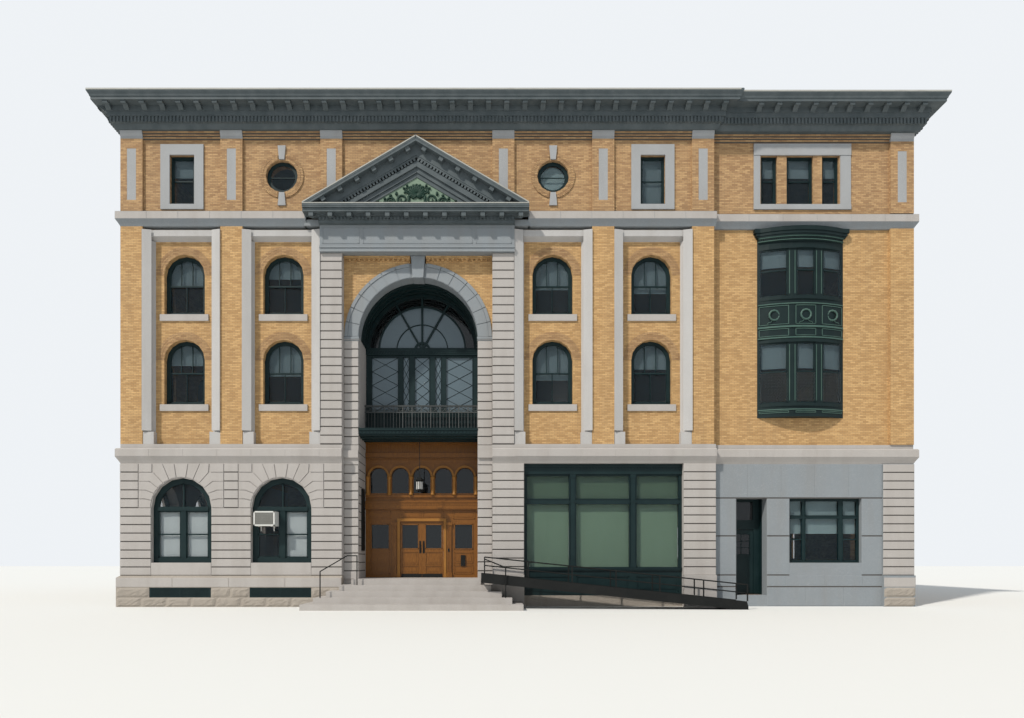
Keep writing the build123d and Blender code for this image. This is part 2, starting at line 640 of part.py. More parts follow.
def build_brick_storeys():
    """Two brick storeys: recessed panels with arched windows between plain pilasters."""
    left = block(-HALF_MAIN + PANEL_SETBACK, -CENTRE_OUTER - SEAT, PANEL_SETBACK, FRONT_INNER, BELT_TOP, UPPER_TOP)
    right = block(CENTRE_OUTER + SEAT, HALF_MAIN, PANEL_SETBACK, FRONT_INNER, BELT_TOP, UPPER_TOP)
    for centre in BAY_CENTRES:
        left = cut_upper_windows(left, -centre)
        right = cut_upper_windows(right, centre)
    for centre in front_bay_centres():
        panel_trim(centre, PANEL_WIDTH)
    side = block(0, DEPTH - FRONT_INNER - SEAT, PANEL_SETBACK, SIDE_WALL, BELT_TOP, UPPER_TOP)
    for centre in side_bay_centres():
        side = cut_upper_windows(side, centre)
        panel_trim(centre, SIDE_BAY_PITCH - PILASTER_WIDTH, LEFT_SIDE)
    keep("brick_walls", left, right, LEFT_SIDE * side)
    inner, corner = PILASTER_CENTRES
    half = PILASTER_WIDTH / 2
    for centre in (-corner, -inner, inner, corner):
        keep("brick_pilasters", brick_pilaster(centre - half, centre + half))
    first, *middle, last = side_pilaster_centres()
    for centre in middle:
        keep("brick_pilasters", LEFT_SIDE * brick_pilaster(centre - half, centre + half))
    keep("brick_pilasters", LEFT_SIDE * brick_pilaster(0, first + half))
    keep("brick_pilasters", LEFT_SIDE * brick_pilaster(last - half, DEPTH - PANEL_SETBACK - 2 * SEAT))


def build_side_bay():
    """The lower bay at the right, with a side door, a wide window and a corner pier."""
    left = MAIN_END + SEAT
    right = SIDE_BAY_RIGHT
    door_left, door_right = SIDE_DOOR
    window_left, window_right = SIDE_WINDOW
    pier_plane = SIDE_PLANE - CORNER_PIER_OUT
    jamb = block(left, door_left, SIDE_PLANE, FRONT_INNER, 0, SIDE_DOOR_HEAD - SEAT)
    wall = block(door_right, right, SIDE_PLANE, FRONT_INNER, 0, SIDE_DOOR_HEAD - SEAT)
    wall += block(CORNER_PIER_LEFT, right, pier_plane, SIDE_PLANE, 0, SIDE_DOOR_HEAD - SEAT)
    wall += block(CORNER_PIER_LEFT - 20, right, SIDE_PLANE - CORNER_BASE_OUT, SIDE_PLANE, 0, PLINTH_TOP)
    wall -= block(window_left, window_right, -PAST, FRONT_INNER + PAST, SIDE_WINDOW_SILL, SIDE_DOOR_HEAD)
    lintel = block(left, right, SIDE_PLANE, FRONT_INNER, SIDE_DOOR_HEAD, GROUND_TOP)
    lintel += block(CORNER_PIER_LEFT, right, pier_plane, SIDE_PLANE, SIDE_DOOR_HEAD, GROUND_TOP)
    threshold = block(door_left + SEAT, door_right - SEAT, SIDE_PLANE, FRONT_INNER, 0, SIDE_FLOOR)
    keep("side_bay_stonework", jamb, wall, lintel, threshold)
    build_side_window()
    upper = block(HALF_MAIN + SEAT, right, SIDE_BRICK_PLANE, FRONT_INNER, BELT_TOP, UPPER_TOP)
    upper -= block(ORIEL_LEFT, ORIEL_RIGHT, -PAST, FRONT_INNER + PAST, ORIEL_BOTTOM, ORIEL_TOP)
    keep("brick_walls", upper)
    pilaster_left, pilaster_right = CORNER_PILASTER
    keep("brick_pilasters", block(pilaster_left, pilaster_right, pier_plane, SIDE_BRICK_PLANE - SEAT,
                                  BELT_TOP + SEAT, UPPER_TOP - SEAT))


def build_side_window():
    """The wide window of the side bay: three lights under three short ones."""
    left, right = SIDE_WINDOW
    plane = SIDE_PLANE + SIDE_WINDOW_REVEAL
    border = SIDE_WINDOW_BORDER
    frame = block(left + SEAT, right - SEAT, plane, plane + FRAME_DEPTH, SIDE_WINDOW_SILL + SEAT,
                  SIDE_DOOR_HEAD - 2 * SEAT)
    (first, second), (third, fourth) = SIDE_WINDOW_MULLIONS
    low, high = SIDE_WINDOW_TRANSOM
    for x0, x1 in ((left + border, first), (second, third), (fourth, right - border)):
        for z0, z1 in ((SIDE_WINDOW_SILL + border, low), (high, SIDE_DOOR_HEAD - border)):
            frame -= block(x0, x1, 0, FRONT_INNER, z0, z1)
            keep("window_glass", pane_in(x0, x1, plane + FRAME_DEPTH / 2, z0, z1))
    keep("window_frames", frame)


def bow(out, z0, z1, back=0, margin=SEAT):
    """A shallow bowed slab across the oriel, standing out from the brick in flat facets."""
    half = (ORIEL_RIGHT - ORIEL_LEFT) / 2 - margin
    middle = (ORIEL_LEFT + ORIEL_RIGHT) / 2
    radius = (half * half + out * out) / (2 * out)
    sweep = math.asin(half / radius)
    points = [(middle + half, SIDE_BRICK_PLANE + back), (middle - half, SIDE_BRICK_PLANE + back)] if back else []
    for number in range(ORIEL_FACETS + 1):
        angle = sweep * (2 * number / ORIEL_FACETS - 1)
        points.append((middle + radius * math.sin(angle), SIDE_BRICK_PLANE - out + radius * (1 - math.cos(angle))))
    return prism_z(points, z0, z1)


def build_oriel():
    """The dark green oriel: a bowed, crowned and belted frame with two rows of three lights."""
    shell = bow(ORIEL_BOW, ORIEL_BOTTOM + SEAT, ORIEL_TOP - SEAT, back=ORIEL_BACK)
    for out, height in ORIEL_CROWN:
        shell += bow(ORIEL_BOW + out, ORIEL_TOP - height, ORIEL_TOP - SEAT)
    (lower_sill, lower_head), (upper_sill, upper_head) = ORIEL_ROWS
    belt = ORIEL_BELT_HEIGHT
    for foot in (ORIEL_BOTTOM + SEAT, lower_sill - belt, lower_head, upper_sill - belt, upper_head):
        shell += bow(ORIEL_BOW + ORIEL_BELT_OUT, foot, foot + belt)
    shell -= bow(ORIEL_BOW - ORIEL_SKIN, ORIEL_BOTTOM + ORIEL_SKIN, ORIEL_TOP - ORIEL_SKIN, 2 * ORIEL_BACK,
                 margin=ORIEL_SKIN)
    inside = SIDE_BRICK_PLANE + 150
    front = ORIEL_BOW - 50
    band = bow(front, lower_sill, upper_head) - bow(front - GLASS_THICK, lower_sill - PAST, upper_head + PAST)
    for left, right in ORIEL_LIGHTS:
        x0, x1 = ORIEL_LEFT + left, ORIEL_LEFT + right
        for z0, z1 in ORIEL_ROWS:
            shell -= block(x0, x1, -FRONT_INNER, inside, z0, z1)
            keep("window_glass", band & block(x0 + SEAT, x1 - SEAT, -FRONT_INNER, inside, z0 + SEAT, z1 - SEAT))
    keep("oriel", shell)


def attic_window_parts(centre, place=FRONT):
    """A double-hung attic window in its flat granite surround."""
    half = ATTIC_SURROUND / 2
    opening = ATTIC_OPENING / 2
    plane = ATTIC_SETBACK
    surround = block(centre - half, centre + half, plane - STONE_OUT, plane - SEAT, ATTIC_SURROUND_BOTTOM,
                     ATTIC_SURROUND_TOP)
    surround -= block(centre - opening, centre + opening, -PAST, plane + PAST, ATTIC_SILL, ATTIC_HEAD)
    keep("attic_stonework", place * surround)
    square_window(centre - opening, centre + opening, ATTIC_SILL, ATTIC_HEAD, plane + ATTIC_REVEAL, ATTIC_BORDER,
                  place)


def round_window_parts(centre, place=FRONT):
    """A round attic window in a brick ring with granite keystones above and below."""
    front, back = ATTIC_SETBACK - STONE_OUT, ATTIC_SETBACK - SEAT
    small, wide = KEY_HALVES
    ring = disc(centre, ROUND_CENTRE, ROUND_RADIUS + ROUND_RING, ATTIC_SETBACK - ROUND_RING_OUT, back)
    ring -= disc(centre, ROUND_CENTRE, ROUND_RADIUS, 0, FRONT_INNER)
    ring -= block(centre - wide - SEAT, centre + wide + SEAT, 0, FRONT_INNER, STRING_TOP, ATTIC_TOP)
    keep("attic_brickwork", place * ring)
    low, high = KEY_TOP
    upper = prism_y([(centre - small, low), (centre + small, low), (centre + wide, high), (centre - wide, high)],
                    front, back)
    low, high = KEY_FOOT
    lower = prism_y([(centre - wide, low), (centre + wide, low), (centre + small, high), (centre - small, high)],
                    front, back)
    keep("attic_stonework", place * upper, place * lower)
    plane = ATTIC_SETBACK + ATTIC_REVEAL
    clear = ROUND_RADIUS - ROUND_BORDER
    frame = disc(centre, ROUND_CENTRE, ROUND_RADIUS - SEAT, plane, plane + ROUND_BORDER)
    frame -= disc(centre, ROUND_CENTRE, clear, 0, FRONT_INNER)
    pane_plane = plane + ROUND_BORDER / 2 - GLASS_THICK
    keep("window_frames", place * frame)
    keep("window_glass", place * disc(centre, ROUND_CENTRE, clear - SEAT, pane_plane, pane_plane + GLASS_THICK))


def attic_pilaster(x0, x1, plane, face):
    """An attic pilaster with a sunk granite inset panel and a flared granite cap."""
    centre = (x0 + x1) / 2
    half = INSET_WIDTH / 2
    foot, head = INSET_LEVELS
    shaft = block(x0, x1, face, plane - SEAT, STRING_TOP + SEAT, CAP_FOOT - SEAT)
    shaft -= block(centre - half, centre + half, face - PAST, face + INSET_DEPTH, foot, head)
    inset = block(centre - half + SEAT, centre + half - SEAT, face + PAST, face + INSET_DEPTH - SEAT,
                  foot + SEAT, head - SEAT)
    points = [(face, CAP_FOOT)] + [(face - out, CAP_FOOT + height) for out, height in CAP_STEPS]
    points += [(face - CAP_OUT, ATTIC_TOP - SEAT), (plane - SEAT, ATTIC_TOP - SEAT), (plane - SEAT, CAP_FOOT)]
    return shaft, inset, prism_x(points, x0, x1)


def build_attic():
    """The attic storey: brick walls with square and round windows between short pilasters."""
    plane = ATTIC_SETBACK
    front = block(-HALF_MAIN + plane, HALF_MAIN, plane, FRONT_INNER, STRING_TOP, ATTIC_TOP)
    side = block(0, DEPTH - FRONT_INNER - SEAT, plane, SIDE_WALL, STRING_TOP, ATTIC_TOP)
    round_bay, square_bay = BAY_CENTRES
    for sign in (-1, 1):
        front -= square_hole(sign * square_bay)
        front -= disc(sign * round_bay, ROUND_CENTRE, ROUND_RADIUS, -PAST, FRONT_INNER + PAST)
        attic_window_parts(sign * square_bay)
        round_window_parts(sign * round_bay)
    for number, centre in enumerate(side_bay_centres()):
        if number % 2 == 0:
            side -= square_hole(centre)
            attic_window_parts(centre, LEFT_SIDE)
        else:
            side -= disc(centre, ROUND_CENTRE, ROUND_RADIUS, -PAST, FRONT_INNER + PAST)
            round_window_parts(centre, LEFT_SIDE)
    keep("attic_walls", front, LEFT_SIDE * side)
    build_side_bay_attic()
    build_attic_pilasters()


def square_hole(centre):
    half = ATTIC_OPENING / 2
    return block(centre - half, centre + half, -PAST, FRONT_INNER + PAST, ATTIC_SILL, ATTIC_HEAD)


def build_side_bay_attic():
    """The attic over the side bay, with its window of three lights between a long sill and lintel."""
    plane = SIDE_PLANE + STONE_OUT
    wall = block(HALF_MAIN + SEAT, SIDE_BAY_RIGHT, plane, FRONT_INNER, STRING_TOP, ATTIC_TOP)
    for x0, x1 in TRIPLE_OPENINGS:
        wall -= block(x0, x1, -PAST, FRONT_INNER + PAST, TRIPLE_SILL, TRIPLE_HEAD)
        square_window(x0, x1, TRIPLE_SILL, TRIPLE_HEAD, plane + ATTIC_REVEAL, ATTIC_BORDER)
    keep("attic_walls", wall)
    left, right = TRIPLE_SURROUND
    for z0, z1 in ((TRIPLE_SILL - TRIPLE_SILL_HEIGHT, TRIPLE_SILL), (TRIPLE_HEAD, TRIPLE_HEAD + TRIPLE_LINTEL_HEIGHT)):
        keep("attic_stonework", block(left, right, plane - STONE_OUT, plane - SEAT, z0, z1))


def build_attic_pilasters():
    """Short pilasters all along the attic; those beside the pediment are cut back to it."""
    half = PILASTER_WIDTH / 2
    groups = []
    for centre in ATTIC_PILASTER_CENTRES:
        for sign in (-1, 1):
            shapes = attic_pilaster(sign * centre - half, sign * centre + half, ATTIC_SETBACK, 0)
            groups.append([shape - pediment_outline(-PEDIMENT_OUT, FRONT_INNER, SEAT) for shape in shapes])
    groups.append(attic_pilaster(*CORNER_PILASTER, SIDE_PLANE + STONE_OUT, SIDE_PLANE - CORNER_PIER_OUT))
    spans = [[centre - half, centre + half] for centre in side_pilaster_centres()]
    spans[-1][1] = DEPTH - ATTIC_SETBACK - 2 * SEAT
    for x0, x1 in spans:
        groups.append([LEFT_SIDE * shape for shape in attic_pilaster(x0, x1, ATTIC_SETBACK, 0)])
    for shaft, inset, cap in groups:
        keep("attic_brickwork", shaft)
        keep("attic_stonework", inset, cap)


def build_arch_piers():
    """The two stone piers of the porch, their moulded belt and the impost that carries the arch."""
    low, high = BELT_FACE
    levels = ((BELT_OUT, GROUND_TOP + low, GROUND_TOP + high), (60, GROUND_TOP, BELT_TOP),
              (40, ARCH_SPRING - 130, ARCH_SPRING - SEAT), (60, HALL_FLOOR + SEAT, HALL_FLOOR + 300))
    for sign in (-1, 1):
        pier = side_block(sign, PORCH_HALF, CENTRE_INNER, PIER_PLANE, RECESS_BACK, 0, ARCH_SPRING - SEAT)
        for out, z0, z1 in levels:
            pier += side_block(sign, PORCH_HALF, CENTRE_INNER, PIER_PLANE - out, PIER_PLANE, z0, z1)
        keep("arch_piers", pier)
        keep("centre_pilasters", side_block(sign, CENTRE_INNER + SEAT, CENTRE_OUTER, 0, FRONT_INNER, BELT_TOP,
                                            CENTRE_TOP))


def arch_point(radius, degrees):
    """A point (x, z) on a circle about the arch's centre; 0 degrees is the right springing."""
    angle = math.radians(degrees)
    return (radius * math.cos(angle), ARCH_SPRING + radius * math.sin(angle))


def build_arch():
    """Granite voussoirs and a proud keystone, the brick above them, and the vault behind."""
    key_half = math.degrees(math.asin(KEYSTONE_HALF_FOOT / PORCH_HALF))
    sweep = (90 - key_half) / VOUSSOIRS_A_SIDE
    joint = math.degrees(MORTAR / 2 / PORCH_HALF)
    outer = ARCH_OUTER - SEAT
    y0, y1 = PIER_PLANE, PIER_PLANE + ARCH_DEPTH
    for number in range(VOUSSOIRS_A_SIDE):
        start = number * sweep + joint
        end = (number + 1) * sweep - joint
        for angles in ((start, end), (180 - start, 180 - end)):
            middle = sum(angles) / 2
            points = [arch_point(PORCH_HALF, angles[0]), arch_point(outer, angles[0]),
                      arch_point(outer, middle), arch_point(outer, angles[1]),
                      arch_point(PORCH_HALF, angles[1]), arch_point(PORCH_HALF, middle)]
            keep("arch_voussoirs", prism_y(points, y0, y1))
    foot = ARCH_SPRING + PORCH_HALF - 40
    small, wide = KEYSTONE_HALF_FOOT - 2 * MORTAR, KEYSTONE_HALF_TOP - 4 * MORTAR
    keep("arch_voussoirs", prism_y([(-small, foot), (small, foot), (wide, KEYSTONE_TOP), (-wide, KEYSTONE_TOP)],
                                   PIER_PLANE - KEYSTONE_PROUD, y1))
    half = KEYSTONE_HALF_TOP + 20
    spandrel = block(-CENTRE_INNER, CENTRE_INNER, PIER_PLANE + 10, FRONT_INNER + 150, ARCH_SPRING, CENTRE_TOP - SEAT)
    spandrel -= great_arch(ARCH_OUTER, 0, RECESS_BACK)
    spandrel -= block(-half, half, 0, RECESS_BACK, foot, KEYSTONE_TOP + PAST)
    keep("arch_spandrel", spandrel)
    vault = block(-CENTRE_INNER, CENTRE_INNER, y1 + SEAT, RECESS_BACK, ARCH_SPRING, CENTRE_TOP - 400)
    vault -= great_arch(PORCH_HALF, 0, RECESS_BACK + PAST)
    keep("arch_vault", vault)


def build_entablature():
    """The fillet and bare frieze over the arch."""
    fillet = block(-CENTRE_OUTER, CENTRE_OUTER, -FILLET_OUT, FRONT_INNER, CENTRE_TOP, FRIEZE_BOTTOM)
    frieze = block(-CENTRE_OUTER, CENTRE_OUTER, -FRIEZE_OUT, FRONT_INNER, FRIEZE_BOTTOM, UPPER_TOP - SEAT)
    keep("entablature", fillet + frieze)


def pediment_outline(y0, y1, clear=0):
    """The whole pediment as one prism, wider by a clearance."""
    half = PEDIMENT_HALF + clear
    foot = STRING_TOP + SEAT - clear
    rise = 2 * clear
    points = [(-half, foot), (half, foot), (half, PEDIMENT_BASE + rise), (0, PEDIMENT_APEX + rise),
              (-half, PEDIMENT_BASE + rise)]
    return prism_y(points, y0, y1)


def build_pediment():
    """A bracketed pediment: bed and crown along the base, raking cornices and a sunk tympanum."""
    half = PEDIMENT_HALF
    back = ATTIC_SETBACK - SEAT
    bed_back = -FILLET_OUT - SEAT
    soffit = UPPER_TOP + 300
    base = block(-CENTRE_OUTER, CENTRE_OUTER, -300, back, UPPER_TOP, UPPER_TOP + 80)
    base += block(-CENTRE_OUTER, CENTRE_OUTER, -320, back, UPPER_TOP + 80, STRING_TOP)
    base += block(-half + 260, half - 260, -PEDIMENT_BED_OUT, bed_back, UPPER_TOP + 240, soffit)
    base += block(-half, half, -PEDIMENT_OUT + 60, bed_back, soffit, soffit + 140)
    base += block(-half, half, -PEDIMENT_OUT, bed_back, soffit + 140, STRING_TOP)
    keep("pediment_base", base)
    slope = math.atan2(PEDIMENT_APEX - PEDIMENT_BASE, half)
    foot = STRING_TOP + SEAT
    inner_apex = PEDIMENT_APEX - PEDIMENT_RAKE / math.cos(slope)
    inner_half = (inner_apex - foot + PAST) / math.tan(slope)
    rake = pediment_outline(-PEDIMENT_OUT, back)
    rake -= prism_y([(-inner_half, foot - PAST), (inner_half, foot - PAST), (0, inner_apex)], -PEDIMENT_OUT - PAST,
                    back + PAST)
    lower = RAKE_STEP / math.cos(slope)
    rake -= prism_y([(-half, foot - PAST), (half, foot - PAST), (half, PEDIMENT_BASE - lower),
                     (0, PEDIMENT_APEX - lower), (-half, PEDIMENT_BASE - lower)], -PEDIMENT_OUT - PAST,
                    -PEDIMENT_BED_OUT)
    keep("raking_cornice", rake)
    field_half = (inner_apex - SEAT - foot) / math.tan(slope)
    keep("tympanum", prism_y([(-field_half, foot), (field_half, foot), (0, inner_apex - SEAT)], -TYMPANUM_OUT, back))
    build_pediment_brackets(slope, soffit)


def build_pediment_brackets(slope, soffit):
    """Brackets under the crown of the base and under both raking cornices."""
    half = BRACKET_HALF
    back = -PEDIMENT_BED_OUT - SEAT
    first = BRACKET_MARGIN - PEDIMENT_HALF
    pitch = -2 * first / (PEDIMENT_BRACKETS - 1)
    for number in range(PEDIMENT_BRACKETS):
        centre = first + number * pitch
        keep("pediment_modillions", block(centre - half, centre + half, -PEDIMENT_OUT + half, back,
                                          soffit - BRACKET_HEIGHT, soffit - SEAT))
    length = math.hypot(PEDIMENT_HALF, PEDIMENT_APEX - PEDIMENT_BASE)
    bracket = block(-half, half, -PEDIMENT_OUT + 60, back, -RAKE_STEP - BRACKET_HEIGHT, -RAKE_STEP - SEAT)
    for number in range(RAKE_BRACKETS):
        along = length * (number + 1) / (RAKE_BRACKETS + 0.7)
        piece = Pos(-PEDIMENT_HALF, 0, PEDIMENT_BASE) * Rot(0, -math.degrees(slope), 0) * Pos(along, 0, 0) * bracket
        keep("pediment_modillions", piece, mirror(piece, about=Plane.YZ))


def modillions(x0, x1, first):
    """Brackets under the corona between two lines, one pitch apart from a first centre."""
    foot, head = [ATTIC_TOP + share * CORNICE_HEIGHT for share in MODILLION_SHARES]
    back = -CORNICE_BED - SEAT
    points = [(back, foot), (-MODILLION_OUT, foot + MODILLION_DROP), (-MODILLION_OUT, head - SEAT),
              (back, head - SEAT)]
    half = MODILLION_WIDTH / 2
    count = int((x1 - half - first) // MODILLION_PITCH) + 1
    centres = [first + number * MODILLION_PITCH for number in range(count)]
    return [prism_x(points, centre - half, centre + half) for centre in centres if centre > x0 + half]


def build_cornice():
    """The main cornice on the front and both sides, with its brackets."""
    steps = [(out, ATTIC_TOP + share * CORNICE_HEIGHT) for out, share in CORNICE_STEPS]
    profile = [(-CORNICE_BACK, ATTIC_TOP)] + steps + [(-CORNICE_BACK, CORNICE_TOP)]
    shift = SIDE_CORNICE_SHIFT
    to_right = Pos(SIDE_BAY_RIGHT, shift, 0) * Rot(0, 0, 90)
    keep("main_cornice", moulding(profile, -HALF_MAIN, HALF_MAIN, left=1, right=1))
    side_front = moulding(profile, HALF_MAIN - shift + SEAT, SIDE_BAY_RIGHT, left=-1, right=1)
    keep("main_cornice", Pos(0, shift, 0) * side_front)
    keep("main_cornice", LEFT_SIDE * moulding(profile, 0, DEPTH - SEAT, right=1))
    keep("main_cornice", to_right * moulding(profile, SEAT, DEPTH - shift, left=1))
    bed = CORNICE_BED
    half_count = int((HALF_MAIN + bed - MODILLION_WIDTH / 2) // MODILLION_PITCH)
    first = -half_count * MODILLION_PITCH
    corner = DEPTH - first - HALF_MAIN
    side_first = corner - int(corner // MODILLION_PITCH) * MODILLION_PITCH
    keep("cornice_modillions", *modillions(-HALF_MAIN - bed, HALF_MAIN + bed, first))
    keep("cornice_modillions", *[Pos(0, shift, 0) * piece
                                 for piece in modillions(HALF_MAIN + 2 * bed, SIDE_BAY_RIGHT + bed, first)])
    keep("cornice_modillions", *[LEFT_SIDE * piece for piece in modillions(0, DEPTH + bed, side_first)])
    keep("cornice_modillions", *[to_right * piece
                                 for piece in modillions(0, RETURN_MODILLIONS * MODILLION_PITCH, MODILLION_PITCH / 2)])


def build_roof_and_floors():
    """The flat roof on the walls, and the floors that the window rows show, clear of the recess."""
    keep("roof", block(-HALF_MAIN + CORNICE_BACK + SEAT, SIDE_BAY_RIGHT - CORNICE_BACK - SEAT,
                       CORNICE_BACK + SIDE_CORNICE_SHIFT + SEAT, DEPTH - PLAIN_WALL - SEAT, ATTIC_TOP + SEAT,
                       ATTIC_TOP + ROOF_THICK))
    left = -HALF_MAIN + SIDE_WALL + SEAT
    right = SIDE_BAY_RIGHT - PLAIN_WALL - SEAT
    front = FRONT_INNER + SEAT
    back = DEPTH - PLAIN_WALL - SEAT
    recess = block(-CENTRE_INNER - SEAT, CENTRE_INNER + SEAT, 0, RECESS_BACK + SEAT, 0, CORNICE_TOP)
    keep("floors", block(left, HALF_MAIN, front, back, HALL_FLOOR - FLOOR_THICK, HALL_FLOOR) - recess)
    keep("floors", block(HALF_MAIN + PAST, right, front, back, SIDE_FLOOR - FLOOR_THICK, SIDE_FLOOR))
    for top in (BALCONY_FLOOR, THIRD_FLOOR):
        keep("floors", block(left, right, front, back, top - FLOOR_THICK, top) - recess)
    keep("floors", block(left, right, front, back, ATTIC_FLOOR - FLOOR_THICK, ATTIC_FLOOR))


def build_plain_walls():
    """The plain brick right side and back, with square windows and sills."""
    inner = SIDE_BAY_RIGHT - PLAIN_WALL
    right = block(inner, SIDE_BAY_RIGHT, FRONT_INNER + SEAT, DEPTH, 0, ATTIC_TOP - SEAT)
    back = block(-HALF_MAIN + SIDE_WALL + SEAT, inner - SEAT, DEPTH - PLAIN_WALL, DEPTH, 0, ATTIC_TOP)
    back += block(-HALF_MAIN + CORNICE_BACK + SEAT, SIDE_BAY_RIGHT - CORNICE_BACK - SEAT, DEPTH - PLAIN_WALL, DEPTH,
                  ATTIC_TOP, PARAPET_TOP)
    back_pitch = (SIDE_BAY_RIGHT + HALF_MAIN) / BACK_BAYS
    right_pitch = DEPTH / RIGHT_BAYS
    for foot, height in BACK_WINDOW_ROWS:
        for bay in range(BACK_BAYS):
            back -= BACK * plain_window(-SIDE_BAY_RIGHT + back_pitch * (bay + 0.5), foot, foot + height, BACK)
        for bay in range(RIGHT_BAYS):
            right -= RIGHT_SIDE * plain_window(right_pitch * (bay + 0.5), foot, foot + height, RIGHT_SIDE)
    keep("right_wall", right)
    keep("back_wall", back)
    keep("back_coping", block(-HALF_MAIN + CORNICE_BACK + SEAT, SIDE_BAY_RIGHT - CORNICE_BACK - SEAT,
                              DEPTH - PLAIN_WALL, DEPTH + COPING_OUT, PARAPET_TOP + SEAT, COPING_TOP))


def plain_window(centre, z0, z1, place):
    """Files a plain window and its sill, and returns the hole that it fills."""
    half = BACK_WINDOW_WIDTH / 2
    wide = half + BACK_SILL_WIDE
    square_window(centre - half, centre + half, z0, z1, BACK_WINDOW_REVEAL, BACK_WINDOW_BORDER, place)
    keep("window_sills", place * block(centre - wide, centre + wide, -BACK_SILL_OUT, -SEAT, z0 - BACK_SILL_HEIGHT, z0))
    return block(centre - half, centre + half, -PAST, PLAIN_WALL + PAST, z0, z1)


def build_entry_screen():
    """The oak screen: panelled sides with glazed lights, a casing round the doors, and an arcade above."""
    y0, y1 = SCREEN_PLANE, SCREEN_PLANE + SCREEN_DEPTH
    side = PORCH_HALF - SEAT
    floor = HALL_FLOOR + SEAT
    head = DOOR_HEAD + DOOR_GAP
    near, far, low, high = SIDELIGHT
    for sign in (-1, 1):
        panel = side_block(sign, DOOR_HALF + DOOR_GAP, side, y0, y1, floor, head)
        panel += side_block(sign, *CASING, y0 - CASING_OUT, y0, floor, head)
        panel -= side_block(sign, near, far, y0 - PAST, y1 + PAST, low, high)
        keep("screen_sides", panel)
        left, right = sorted((sign * near, sign * far))
        keep("screen_glass", pane_in(left, right, y0 + SCREEN_GLASS, low, high))
    arcade = block(-side, side, y0, y1, head + SEAT, SCREEN_HEAD)
    for out, z0, z1 in SCREEN_BANDS:
        arcade += block(-side, side, y0 - out, y0, z0, z1)
    for number in range(ARCADE_LIGHTS):
        centre = (number - (ARCADE_LIGHTS - 1) / 2) * ARCADE_PITCH
        arcade -= arched(centre, 2 * ARCADE_RADIUS, ARCADE_GLASS_FOOT, ARCADE_SPRING, y0 - PAST, y1 + PAST)
        keep("screen_glass", arched(centre, 2 * (ARCADE_RADIUS - SEAT), ARCADE_GLASS_FOOT + SEAT, ARCADE_SPRING,
                                    y0 + SCREEN_GLASS, y0 + SCREEN_GLASS + GLASS_THICK))
    keep("screen_arcade", arcade)


def hinges(x, plane, out, towards, foot, head):
    """Three hinge knuckles just off a door's face, each with a short strap on the leaf.

    out is the side of the plane that the knuckles stand on, and towards is where the leaf lies along X.
    """
    y = plane + out * (HINGE_RADIUS + SEAT)
    pieces = []
    for middle in (foot + HINGE_INSET, (foot + head) / 2, head - HINGE_INSET):
        low, high = middle - HINGE_LENGTH / 2, middle + HINGE_LENGTH / 2
        knuckle = Pos(x, y, low) * extrude(RegularPolygon(HINGE_RADIUS, HINGE_SIDES), amount=HINGE_LENGTH)
        end = x + towards * HINGE_STRAP
        edge = x + towards * DOOR_GAP / 2
        strap = span(x, end, plane + out * SEAT, y, low, high) + span(edge, end, plane, y, low, high)
        pieces.append(knuckle + strap)
    return pieces


def build_main_doors():
    """A pair of glazed oak doors that swing out over the landing."""
    y0, y1 = SCREEN_PLANE, SCREEN_PLANE + DOOR_THICK
    near, far, foot, head = DOOR_GLASS
    for sign, name in ((-1, "main_door_left"), (1, "main_door_right")):
        leaf = side_block(sign, DOOR_GAP / 2, DOOR_HALF, y0, y1, DOOR_FOOT, DOOR_HEAD)
        leaf -= side_block(sign, near, far, y0 - PAST, y1 + PAST, foot, head)
        for low, high in DOOR_PANELS:
            leaf -= side_block(sign, near, far, y0 - PAST, y0 + DOOR_PANEL_SUNK, low, high)
        leaf += hinges(sign * (DOOR_HALF + DOOR_GAP / 2), y0, -1, -sign, DOOR_FOOT, DOOR_HEAD)
        keep(name, leaf)
        left, right = sorted((sign * near, sign * far))
        keep(name + "_glass", pane_in(left, right, y0 + DOOR_GLASS_BACK, foot, head))


def build_side_door():
    """The side entrance: reveals, a frame with a light over the leaf, and one leaf that swings in."""
    left, right = SIDE_DOOR
    y0, y1 = SIDE_DOOR_PLANE, SIDE_DOOR_PLANE + SIDE_FRAME_DEPTH
    foot, head = SIDE_FLOOR + SEAT, SIDE_DOOR_HEAD
    reveal = FRONT_INNER + 2 * SEAT
    for x0, x1 in ((left - SIDE_LINING, left), (right, right + SIDE_LINING)):
        keep("side_door_frame", block(x0, x1, reveal, y0 - SEAT, foot, head))
    x0, x1 = left - SIDE_LINING, right + SIDE_LINING
    keep("side_door_frame", block(x0, x1, reveal, y1, head + SEAT, head + SIDE_LINING))
    leaf_left, leaf_right = SIDE_LEAF
    frame = block(x0, x1, y0, y1, foot, head)
    frame -= block(leaf_left - DOOR_GAP, leaf_right + DOOR_GAP, y0 - PAST, y1 + PAST, 0, SIDE_LEAF_HEAD + DOOR_GAP)
    light_left, light_right, light_foot, light_head = TRANSOM_LIGHT
    frame -= block(light_left, light_right, y0 - PAST, y1 + PAST, light_foot, light_head)
    keep("side_door_frame", frame)
    keep("screen_glass", pane_in(light_left, light_right, y0 + 40, light_foot, light_head))
    face = y1 - DOOR_THICK
    leaf = block(leaf_left, leaf_right, face, y1, SIDE_LEAF_FOOT, SIDE_LEAF_HEAD)
    x0, x1 = leaf_left + SIDE_LEAF_BORDER, leaf_right - SIDE_LEAF_BORDER
    z0, z1 = SIDE_LEAF_GLASS
    leaf -= block(x0, x1, face - PAST, y1 + PAST, z0, z1)
    leaf += hinges(leaf_right + DOOR_GAP / 2, y1, 1, -1, SIDE_LEAF_FOOT, SIDE_LEAF_HEAD)
    keep("side_door", leaf)
    keep("side_door_glass", pane_in(x0, x1, face + 20, z0, z1))


